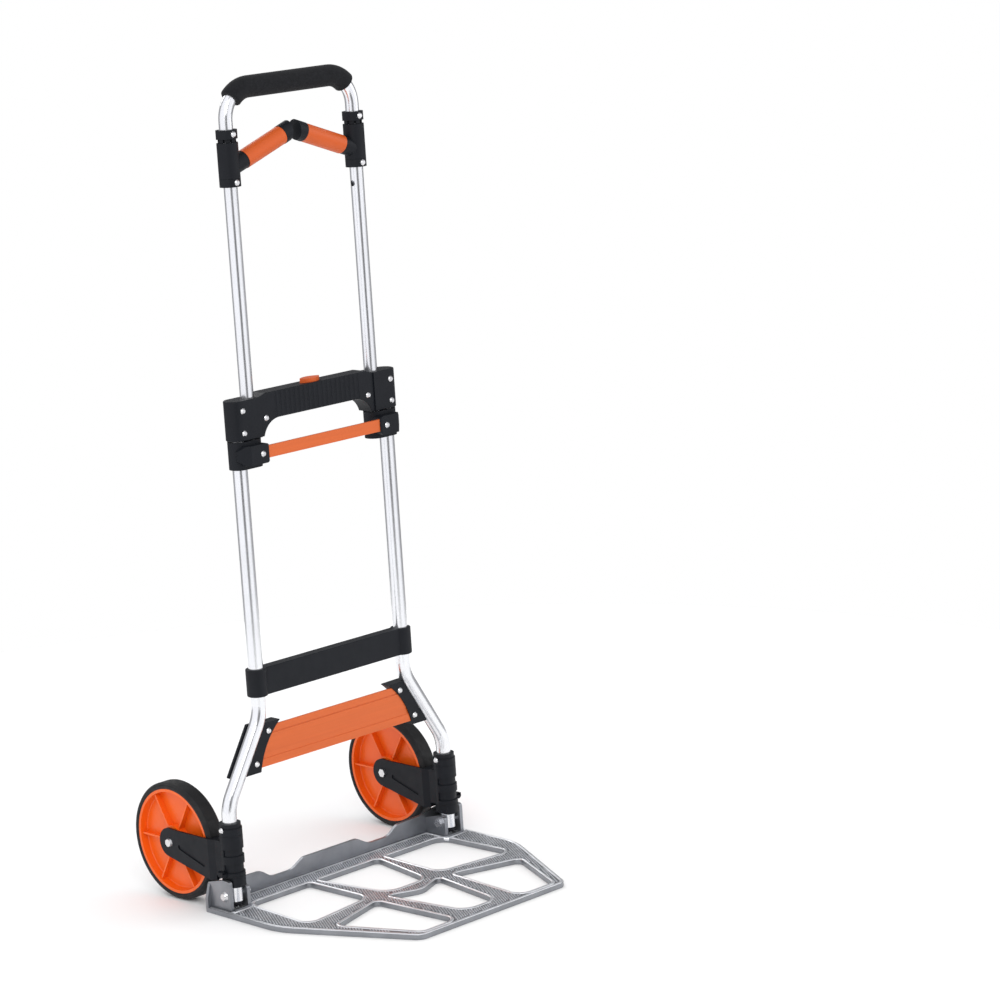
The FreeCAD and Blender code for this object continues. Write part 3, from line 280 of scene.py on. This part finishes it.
@dataclass(frozen=True)
class Moulding:
    """Moulded plastic with a fine grain."""

    colour: Colour
    rough: tuple[float, float] = (0.42, 0.52)
    grain: float = 1500.0
    relief: float = 0.00006
    coat: float = 0.0
    patch: float = 0.9
    sheen: float = 0.4

    def make(self, name: str) -> bpy.types.Material:
        """Builds the finish.

        Args:
            name: the material's name.

        Returns:
            The material.
        """
        shader = Shader(name)
        cloud = shader.noise(16.0, 3.0)
        shader.tint(cloud, shade(self.colour, self.patch), shade(self.colour, 2.0 - self.patch))
        shader.roughen(shader.noise(60.0, 3.0), *self.rough)
        shader.constant("Specular IOR Level", self.sheen)
        shader.constant("Coat Weight", self.coat)
        shader.constant("Coat Roughness", 0.25)
        shader.bump(shader.cells(self.grain), self.relief, 0.35)
        shader.bump(shader.noise(180.0, 2.0), 0.00005, 0.15)
        return shader.material


@dataclass(frozen=True)
class CoatedSheet:
    """Satin coated metal with a light orange-peel and faint lengthwise lines."""

    colour: Colour
    line_scale: Colour = (5.0, 500.0, 260.0)

    def make(self, name: str) -> bpy.types.Material:
        """Builds the finish.

        Args:
            name: the material's name.

        Returns:
            The material.
        """
        shader = Shader(name)
        lines = shader.noise(1.0, 2.0, shader.stretched(self.line_scale))
        shader.tint(lines, shade(self.colour, 0.97), shade(self.colour, 1.03))
        shader.constant("Metallic", 0.15)
        shader.roughen(shader.noise(90.0, 3.0), 0.34, 0.44)
        shader.bump(shader.noise(700.0, 2.0), 0.00004, 0.3)
        shader.bump(lines, 0.00002, 0.2)
        return shader.material


@dataclass(frozen=True)
class ClosedFoam:
    """Matt closed-cell foam, with open pores at its surface."""

    colour: Colour = (0.0075, 0.0080, 0.0100)

    def make(self, name: str) -> bpy.types.Material:
        """Builds the finish.

        Args:
            name: the material's name.

        Returns:
            The material.
        """
        shader = Shader(name)
        shader.tint(shader.noise(160.0, 4.0), shade(self.colour, 0.8), shade(self.colour, 1.25))
        shader.roughen(shader.noise(300.0, 3.0), 0.78, 0.95)
        shader.constant("Specular IOR Level", 0.22)
        shader.constant("Sheen Weight", 0.04)
        shader.constant("Sheen Roughness", 0.5)
        shader.bump(shader.cells(1300.0), 0.00012, 0.5)
        shader.bump(shader.noise(90.0, 3.0), 0.0002, 0.12)
        return shader.material


@dataclass(frozen=True)
class TyreRubber:
    """Solid tyre rubber, matt, with faint scuffs on the tread."""

    colour: Colour = (0.0085, 0.0085, 0.0095)

    def make(self, name: str) -> bpy.types.Material:
        """Builds the finish.

        Args:
            name: the material's name.

        Returns:
            The material.
        """
        shader = Shader(name)
        scuff = shader.noise(55.0, 5.0)
        shader.tint(scuff, shade(self.colour, 0.8), shade(self.colour, 1.35))
        shader.roughen(shader.noise(140.0, 4.0), 0.46, 0.66)
        shader.constant("Specular IOR Level", 0.3)
        shader.bump(shader.noise(1100.0, 3.0), 0.00008, 0.5)
        shader.bump(scuff, 0.0002, 0.12)
        return shader.material


@dataclass(frozen=True)
class PaintedCasting:
    """Grey painted casting with the slight unevenness of a cast skin."""

    colour: Colour = (0.27, 0.28, 0.302)
    rough: tuple[float, float] = (0.28, 0.4)

    def make(self, name: str) -> bpy.types.Material:
        """Builds the finish.

        Args:
            name: the material's name.

        Returns:
            The material.
        """
        shader = Shader(name)
        shader.tint(shader.noise(34.0, 4.0), shade(self.colour, 0.9), shade(self.colour, 1.1))
        shader.constant("Metallic", 0.85)
        shader.roughen(shader.noise(150.0, 3.0), *self.rough)
        shader.bump(shader.noise(900.0, 3.0), 0.00007, 0.4)
        shader.bump(shader.noise(40.0, 2.0), 0.0004, 0.1)
        return shader.material


@dataclass(frozen=True)
class PlatedSteel:
    """Bright plated steel, with a light tarnish."""

    colour: Colour = (0.78, 0.78, 0.79)

    def make(self, name: str) -> bpy.types.Material:
        """Builds the finish.

        Args:
            name: the material's name.

        Returns:
            The material.
        """
        shader = Shader(name)
        shader.tint(shader.noise(260.0, 3.0), shade(self.colour, 0.88), self.colour)
        shader.constant("Metallic", 1.0)
        shader.roughen(shader.noise(400.0, 3.0), 0.2, 0.34)
        shader.bump(shader.noise(1600.0, 2.0), 0.00002, 0.3)
        return shader.material


FINISHES = {
    Slot.TUBE: DrawnAluminium(),
    Slot.BLACK: Moulding(colour=(0.0055, 0.0068, 0.0102), rough=(0.44, 0.56), sheen=0.22),
    Slot.ORANGE: Moulding(colour=(0.57, 0.088, 0.008), rough=(0.38, 0.48), grain=1800.0, patch=0.97),
    Slot.HUB: Moulding(
        colour=(0.84, 0.118, 0.004), rough=(0.32, 0.42), grain=2200.0, coat=0.15, patch=0.97
    ),
    Slot.COATED: CoatedSheet(colour=(0.63, 0.118, 0.02)),
    Slot.FOAM: ClosedFoam(),
    Slot.TYRE: TyreRubber(),
    Slot.PLATE: PaintedCasting(),
    Slot.ZINC: PlatedSteel(),
    Slot.SPRING: PlatedSteel(colour=(0.6, 0.6, 0.62)),
    Slot.BUSH: Moulding(colour=(0.09, 0.09, 0.10)),
    # Painted highlight: the deck's ribs and bead are coloured far lighter than the plate, standing in for
    # the glints on raised metal.
    PaintedHighlight.RIBS: PaintedCasting(colour=(0.82, 0.835, 0.865), rough=(0.28, 0.4)),
}


class Paintshop:
    """Makes each finish once and puts it on the CAD nodes and on new pieces."""

    def __init__(self) -> None:
        """Makes every finish."""
        self.materials = {key: finish.make(key.value) for key, finish in FINISHES.items()}

    def dress_frame(self) -> None:
        """Gives every CAD node the finish of its slot."""
        for entry in frame["record"]["subparts"]:
            node = frame["nodes"][entry["node"]]
            material = self.materials[Slot(entry["material_slot"])]
            for place in node.material_slots:
                place.material = material
        LOG.info("dressed %d CAD nodes", len(frame["nodes"]))

    def dress(self, piece: bpy.types.Object, slot: Slot, body: str, painted_highlight: PaintedHighlight | None = None) -> None:
        """Gives a new piece its finish and the body that it moves with.

        Args:
            piece: the new piece.
            slot: the record's slot that it belongs to.
            body: the CAD body that it rides on.
            painted_highlight: the lighter finish painted on as a highlight, or None for its slot's own.
        """
        piece.data.materials.append(self.materials[painted_highlight or slot])
        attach(piece, body)
        LOG.info("%s: %d faces on %s", piece.name, len(piece.data.polygons), body)


def make_piece(name: str, shape: bmesh.types.BMesh, smooth: bool = True) -> bpy.types.Object:
    """Turns a finished bmesh into an object at the origin.

    Args:
        name: the piece's name.
        shape: its mesh, which is freed.
        smooth: whether its faces are shaded smooth.

    Returns:
        The new object.
    """
    bmesh.ops.remove_doubles(shape, verts=shape.verts, dist=WELD)
    bmesh.ops.recalc_face_normals(shape, faces=shape.faces)
    mesh = bpy.data.meshes.new(name)
    shape.to_mesh(mesh)
    shape.free()
    for polygon in mesh.polygons:
        polygon.use_smooth = smooth
    piece = bpy.data.objects.new(name, mesh)
    bpy.context.scene.collection.objects.link(piece)
    return piece


# ------------------------------------------------------------------ foam grip


@dataclass
class FoamGrip:
    """The foam sleeve over the top of the handle, which follows the start of both bends."""

    bend_radius: float = 0.045
    bend_turn: float = math.radians(43.5)
    wall_clear: float = 0.0001
    end_round: float = 0.003
    end_slack: float = 1e-5
    end_steps: int = 6
    bend_steps: int = 10
    rings: int = 36
    around: int = 48

    def build(self, shop: Paintshop) -> None:
        """Builds the sleeve and puts it in place of its CAD solid.

        Args:
            shop: what gives the piece its finish.
        """
        low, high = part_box("foam_grip")
        tube_low, tube_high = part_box("handle_tube")
        radius = (high.y - low.y) / 2 - self.wall_clear
        tube = (tube_high.y - tube_low.y) / 2
        axis_z = high.z - (high.y - low.y) / 2
        bend_x = (tube_high.x - tube) - self.bend_radius
        centre = Vector((-bend_x, 0, axis_z - self.bend_radius))
        shape = bmesh.new()
        start = Matrix.Translation((-bend_x, 0, axis_z)) @ Matrix.Rotation(math.pi / 2, 4, "Y")
        bmesh.ops.create_circle(shape, segments=self.around, radius=radius, matrix=start)
        turned = Matrix.Rotation(-self.bend_turn, 3, "Y")
        bmesh.ops.rotate(shape, verts=shape.verts, cent=centre, matrix=turned)
        self._spin(shape, list(shape.edges), centre)
        self._run(shape, 2 * bend_x)
        last = self._end_ring(shape)
        self._spin(shape, last, Vector((bend_x, 0, centre.z)))
        self._close_end(shape, tube + self.wall_clear)
        piece = make_piece("foam_sleeve", shape)
        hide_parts("foam_grip")
        shop.dress(piece, Slot.FOAM, "handle")

    def _spin(self, shape: bmesh.types.BMesh, edges: list, centre: Vector) -> None:
        """Extends a ring of edges round a bend.

        Args:
            shape: the sleeve so far.
            edges: the ring.
            centre: the bend's centre.
        """
        bmesh.ops.spin(
            shape, geom=edges, cent=centre, axis=Y_AXIS, dvec=(0, 0, 0),
            angle=self.bend_turn, steps=self.bend_steps, use_merge=False, use_duplicate=False,
        )

    def _end_ring(self, shape: bmesh.types.BMesh) -> list:
        """Finds the open ring of edges on the right.

        Args:
            shape: the sleeve so far.

        Returns:
            The ring's edges.
        """
        rim = [edge for edge in shape.edges if edge.is_boundary]
        return [edge for edge in rim if all(vert.co.x > 0 for vert in edge.verts)]

    def _run(self, shape: bmesh.types.BMesh, length: float) -> None:
        """Extends the sleeve straight along +X from the ring at its right-hand end.

        Args:
            shape: the sleeve so far.
            length: how far it runs, in metres.
        """
        rim = [edge for edge in shape.edges if edge.is_boundary]
        reach = max(vert.co.x for edge in rim for vert in edge.verts) - self.end_slack
        ring = [edge for edge in rim if all(vert.co.x > reach for vert in edge.verts)]
        for _ in range(self.rings):
            made = bmesh.ops.extrude_edge_only(shape, edges=ring)["geom"]
            moved = [item for item in made if isinstance(item, bmesh.types.BMVert)]
            bmesh.ops.translate(shape, verts=moved, vec=X_AXIS * (length / self.rings))
            ring = [item for item in made if isinstance(item, bmesh.types.BMEdge) and item.is_boundary]

    def _close_end(self, shape: bmesh.types.BMesh, hole: float) -> None:
        """Rounds both ends over and leaves the hole for the tube.

        Args:
            shape: the sleeve, open at both ends.
            hole: the hole's radius in metres.
        """
        for side in (-1, 1):
            rim = [edge for edge in shape.edges if edge.is_boundary]
            ring = [edge for edge in rim if all(vert.co.x * side > 0 for vert in edge.verts)]
            middle = sum((edge.verts[0].co for edge in ring), Vector()) / len(ring)
            radius = (ring[0].verts[0].co - middle).length
            turn = Matrix.Rotation(self.bend_turn * side, 3, "Y")
            outward = turn @ Vector((side, 0, 0))
            steps = self.end_steps
            for index in range(1, steps + 2):
                made = bmesh.ops.extrude_edge_only(shape, edges=ring)["geom"]
                verts = [item for item in made if isinstance(item, bmesh.types.BMVert)]
                ring = [item for item in made if isinstance(item, bmesh.types.BMEdge) and item.is_boundary]
                angle = math.pi / 2 * min(index, steps) / steps
                target = radius - self.end_round * (1 - math.cos(angle))
                push = self.end_round * (math.sin(angle) - math.sin(math.pi / 2 * (index - 1) / steps))
                if index > steps:
                    target, push = hole, 0.0
                for vert in verts:
                    spoke = vert.co - middle
                    spoke -= outward * spoke.dot(outward)
                    vert.co += spoke.normalized() * (target - spoke.length) + outward * push


# ------------------------------------------------------------------ toe plate


@dataclass
class DeckTexture:
    """The raised ribs on the toe plate's deck and the smooth bead along its edges."""

    row_pitch: float = 0.0037
    rib_pitch: float = 0.0062
    rib_long: float = 0.0060
    rib_wide: float = 0.0021
    rib_top: float = 0.62
    rib_turn: float = math.radians(-120.0)
    rib_height: float = 0.0013
    sunk: float = 0.0001
    margin: float = 0.0066
    bead_radius: float = 0.0032
    bead_sunk: float = 0.55
    bead_round: int = 3
    probes: int = 8
    probe_from: float = 0.2
    deck_thick: float = 0.007
    level_slack: float = 1e-4
    level_facing: float = 0.99
    weld: float = 1e-5
    tree: BVHTree | None = field(default=None, init=False)
    deck_z: float = field(default=0.0, init=False)

    def build(self, shop: Paintshop) -> None:
        """Builds the ribs and the bead on the deck of the CAD toe plate.

        Args:
            shop: what gives the pieces their finish.
        """
        mesh = frame["nodes"]["toe_plate"].data
        corners = [vert.co.copy() for vert in mesh.vertices]
        faces = [tuple(polygon.vertices) for polygon in mesh.polygons]
        self.tree = BVHTree.FromPolygons(corners, faces)
        self.deck_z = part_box("toe_plate")[0].z + self.deck_thick
        # The ribs and the bead take the lighter finish, which is a painted highlight on the raised metal.
        shop.dress(self._ribs(), Slot.PLATE, "toe_plate", PaintedHighlight.RIBS)
        shop.dress(self._bead(), Slot.PLATE, "toe_plate", PaintedHighlight.RIBS)

    def _on_deck(self, x: float, y: float) -> bool:
        """Tells whether the deck's open top face is under a point.

        Args:
            x: the point's place across the plate.
            y: its place from front to back.

        Returns:
            True where a ray from above meets the deck first.
        """
        hit = self.tree.ray_cast(Vector((x, y, self.probe_from)), -Z_AXIS)[0]
        return hit is not None and abs(hit.z - self.deck_z) < self.level_slack

    def _clear(self, x: float, y: float) -> bool:
        """Tells whether a point is on the deck and away from every edge.

        Args:
            x: the point's place across the plate.
            y: its place from front to back.

        Returns:
            True where a ring of probes round the point is on the deck too.
        """
        if not self._on_deck(x, y):
            return False
        turns = [2 * math.pi * index / self.probes for index in range(self.probes)]
        ring = [(x + self.margin * math.cos(turn), y + self.margin * math.sin(turn)) for turn in turns]
        return all(self._on_deck(*spot) for spot in ring)

    def _rib(self) -> bpy.types.Mesh:
        """Makes the one short rib that is laid again and again.

        Returns:
            Its mesh, round the origin.
        """
        shape = bmesh.new()
        bmesh.ops.create_cube(shape, size=1.0)
        for vert in shape.verts:
            if vert.co.z > 0:
                vert.co.y *= self.rib_top
        size = Matrix.Diagonal((self.rib_long, self.rib_wide, self.rib_height, 1.0))
        shape.transform(Matrix.Rotation(self.rib_turn, 4, "Z") @ size)
        mesh = bpy.data.meshes.new("deck_rib")
        shape.to_mesh(mesh)
        shape.free()
        return mesh

    def _ribs(self) -> bpy.types.Object:
        """Lays staggered rows of ribs wherever the deck is clear of edges.

        Returns:
            The ribs as one piece.
        """
        low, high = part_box("toe_plate")
        along = Vector((math.cos(self.rib_turn), math.sin(self.rib_turn), 0))
        across = Vector((-along.y, along.x, 0))
        middle, reach = (low + high) / 2, (high - low).length / 2
        rib, shape = self._rib(), bmesh.new()
        level = self.deck_z + self.rib_height / 2 - self.sunk
        rows, ribs = int(reach / self.row_pitch), int(reach / self.rib_pitch)
        for row in range(-rows, rows + 1):
            start = middle + across * (row * self.row_pitch) + along * ((row % 2) * self.rib_pitch / 2)
            for column in range(-ribs, ribs + 1):
                spot = start + along * (column * self.rib_pitch)
                ends = [spot + along * (self.rib_long / 2 * side) for side in (-1, 0, 1)]
                if all(self._clear(end.x, end.y) for end in ends):
                    move = Matrix.Translation((spot.x, spot.y, level))
                    rib.transform(move)
                    shape.from_mesh(rib)
                    rib.transform(move.inverted())
        bpy.data.meshes.remove(rib)
        return make_piece("deck_ribs", shape, smooth=False)

    def _bead(self) -> bpy.types.Object:
        """Builds the rounded bead that runs along every edge of the deck.

        Returns:
            The bead as one piece.
        """
        shape = bmesh.new()
        shape.from_mesh(frame["nodes"]["toe_plate"].data)
        bmesh.ops.remove_doubles(shape, verts=shape.verts, dist=self.weld)
        shape.normal_update()
        deck = [face for face in shape.faces if self._is_deck(face)]
        bmesh.ops.inset_region(shape, faces=deck, thickness=self.bead_radius, use_even_offset=True)
        inner = {edge for face in deck for edge in face.edges if self._is_rim(edge, set(deck))}
        bmesh.ops.delete(shape, geom=list(shape.faces), context="FACES_ONLY")
        bmesh.ops.delete(shape, geom=[edge for edge in shape.edges if edge not in inner], context="EDGES")
        bmesh.ops.delete(shape, geom=[vert for vert in shape.verts if not vert.link_edges], context="VERTS")
        LOG.info("bead runs over %d edges", len(shape.edges))
        return self._tube("deck_bead", shape)

    def _is_deck(self, face: bmesh.types.BMFace) -> bool:
        """Tells whether a face lies in the deck's top plane.

        Args:
            face: a face of the plate.

        Returns:
            True if it looks up and is level with the deck.
        """
        level = all(abs(vert.co.z - self.deck_z) < self.level_slack for vert in face.verts)
        return level and face.normal.z > self.level_facing

    def _is_rim(self, edge: bmesh.types.BMEdge, deck: set[bmesh.types.BMFace]) -> bool:
        """Tells whether an edge has the deck on one side only.

        Args:
            edge: an edge of the plate.
            deck: the deck's faces.

        Returns:
            True along the deck's outline and round its windows.
        """
        return sum(1 for face in edge.link_faces if face in deck) == 1

    def _tube(self, name: str, line: bmesh.types.BMesh) -> bpy.types.Object:
        """Turns loops of edges into a round bead.

        Args:
            name: the piece's name.
            line: the loops of edges, which is freed.

        Returns:
            The bead, partly sunk into the deck.
        """
        path = make_piece(name + "_path", line)
        bpy.ops.object.select_all(action="DESELECT")
        bpy.context.view_layer.objects.active = path
        path.select_set(True)
        bpy.ops.object.convert(target="CURVE")
        path.data.bevel_depth = self.bead_radius
        path.data.bevel_resolution = self.bead_round
        path.data.use_fill_caps = True
        bpy.ops.object.convert(target="MESH")
        shape = bmesh.new()
        shape.from_mesh(path.data)
        bpy.data.objects.remove(path)
        bmesh.ops.translate(shape, verts=shape.verts, vec=-Z_AXIS * self.bead_radius * self.bead_sunk)
        return make_piece(name, shape)


# ------------------------------------------------------------------ studio


@dataclass(frozen=True)
class Softbox:
    """A large soft light."""

    name: str
    spot: Colour
    aim: Colour
    size: tuple[float, float]
    watts: float

    def build(self) -> None:
        """Hangs the light and points it."""
        data = bpy.data.lights.new(self.name, "AREA")
        data.shape = "RECTANGLE"
        data.size, data.size_y = self.size
        data.energy = self.watts
        lamp = bpy.data.objects.new(self.name, data)
        bpy.context.scene.collection.objects.link(lamp)
        lamp.location = self.spot
        aim = Vector(self.aim) - Vector(self.spot)
        lamp.rotation_euler = aim.to_track_quat("-Z", "Y").to_euler()


@dataclass
class Studio:
    """The pale floor, the lights and the camera."""

    azimuth: float = math.radians(-41.42)
    elevation: float = math.radians(10.96)
    roll: float = math.radians(4.24)
    distance: float = 4.886
    focus: float = 3.32676
    centre: Colour = (0.0, 0.0, 0.6)
    shift: tuple[float, float] = (0.18295, -0.01769)
    sensor: float = 36.0
    clip_end: float = 200.0
    floor_radius: float = 1.7
    floor_sides: int = 128
    floor_drop: float = 0.0005
    ambient: float = 1.0
    card_strength: float = 1.04
    card_blue: float = 1.03
    cards: tuple[tuple[float, float], ...] = (
        (0.0, 1.0), (0.105, 1.0), (0.135, 0.16), (0.20, 0.16), (0.23, 1.0), (0.355, 0.95),
        (0.42, 0.34), (0.63, 0.26), (0.82, 0.34), (0.875, 1.0), (1.0, 1.0),
    )
    lights: tuple[Softbox, ...] = (
        Softbox("key_light", (-2.6, -3.0, 3.2), (0, 0, 0.6), (2.4, 2.4), 62.0),
        Softbox("fill_light", (3.4, -2.2, 1.9), (0, 0, 0.5), (2.6, 2.6), 22.0),
        Softbox("back_light", (0.8, 3.4, 2.8), (0, 0, 0.6), (2.4, 1.8), 34.0),
    )

    def build(self) -> None:
        """Sets the whole studio up."""
        self._floor()
        for light in self.lights:
            light.build()
        self._world()
        bpy.context.scene.view_settings.view_transform = "Standard"
        self._camera()
        LOG.info("studio ready")

    def _world(self) -> None:
        """Surrounds the scene with even light, and with grey cards that only gloss sees."""
        world = bpy.data.worlds.new("studio")
        world.use_nodes = True
        tree = world.node_tree
        even = tree.nodes["Background"]
        even.inputs["Color"].default_value = (1.0, 1.0, 1.0, 1.0)
        even.inputs["Strength"].default_value = self.ambient
        cards = tree.nodes.new("ShaderNodeBackground")
        cards.inputs["Strength"].default_value = self.card_strength
        heading = tree.nodes.new("ShaderNodeTexCoord").outputs["Generated"]
        parts = tree.nodes.new("ShaderNodeSeparateXYZ")
        tree.links.new(heading, parts.inputs["Vector"])
        angle = tree.nodes.new("ShaderNodeMath")
        angle.operation = "ARCTAN2"
        tree.links.new(parts.outputs["Y"], angle.inputs[0])
        tree.links.new(parts.outputs["X"], angle.inputs[1])
        turn = tree.nodes.new("ShaderNodeMapRange")
        turn.inputs["From Min"].default_value, turn.inputs["From Max"].default_value = -math.pi, math.pi
        tree.links.new(angle.outputs["Value"], turn.inputs["Value"])
        ramp = tree.nodes.new("ShaderNodeValToRGB")
        stops = ramp.color_ramp.elements
        while len(stops) < len(self.cards):
            stops.new(0.5)
        for stop, (place, level) in zip(stops, self.cards):
            stop.position, stop.color = place, (level, level, level * self.card_blue, 1.0)
        tree.links.new(turn.outputs["Result"], ramp.inputs["Fac"])
        tree.links.new(ramp.outputs["Color"], cards.inputs["Color"])
        choose = tree.nodes.new("ShaderNodeMixShader")
        gloss = tree.nodes.new("ShaderNodeLightPath").outputs["Is Glossy Ray"]
        tree.links.new(gloss, choose.inputs["Fac"])
        tree.links.new(even.outputs["Background"], choose.inputs[1])
        tree.links.new(cards.outputs["Background"], choose.inputs[2])
        tree.links.new(choose.outputs["Shader"], tree.nodes["World Output"].inputs["Surface"])
        bpy.context.scene.world = world

    def _floor(self) -> None:
        """Lays a round pale floor under the lowest point of the object."""
        shape = bmesh.new()
        bmesh.ops.create_circle(
            shape, cap_ends=True, segments=self.floor_sides, radius=self.floor_radius
        )
        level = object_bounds()[0].z - self.floor_drop
        bmesh.ops.translate(shape, verts=shape.verts, vec=Z_AXIS * level)
        floor = make_piece("floor", shape, smooth=False)
        shader = Shader("floor_paper")
        shader.tint(shader.noise(0.8, 2.0), (0.86, 0.86, 0.87), (0.89, 0.89, 0.89))
        shader.constant("Roughness", 0.9)
        shader.constant("Specular IOR Level", 0.1)
        floor.data.materials.append(shader.material)
        floor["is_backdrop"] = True

    def _camera(self) -> None:
        """Places the camera on its sphere round the look-at point."""
        data = bpy.data.cameras.new("camera")
        data.sensor_width = self.sensor
        data.lens = self.focus * self.sensor
        data.shift_x, data.shift_y = self.shift
        data.clip_end = self.clip_end
        camera = bpy.data.objects.new("camera", data)
        bpy.context.scene.collection.objects.link(camera)
        flat = math.cos(self.elevation)
        back = Vector(
            (math.sin(self.azimuth) * flat, -math.cos(self.azimuth) * flat, math.sin(self.elevation))
        )
        camera.location = Vector(self.centre) + back * self.distance
        look = (-back).to_track_quat("-Z", "Y")
        camera.rotation_mode = "QUATERNION"
        camera.rotation_quaternion = look @ Quaternion(Z_AXIS, -self.roll)
        bpy.context.scene.camera = camera


def main() -> None:
    """Dresses the frame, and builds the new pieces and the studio."""
    logging.basicConfig(level=logging.INFO, format="%(name)s: %(message)s")
    shop = Paintshop()
    shop.dress_frame()
    FoamGrip().build(shop)
    DeckTexture().build(shop)
    Studio().build()


if __name__ == "__main__":
    main()
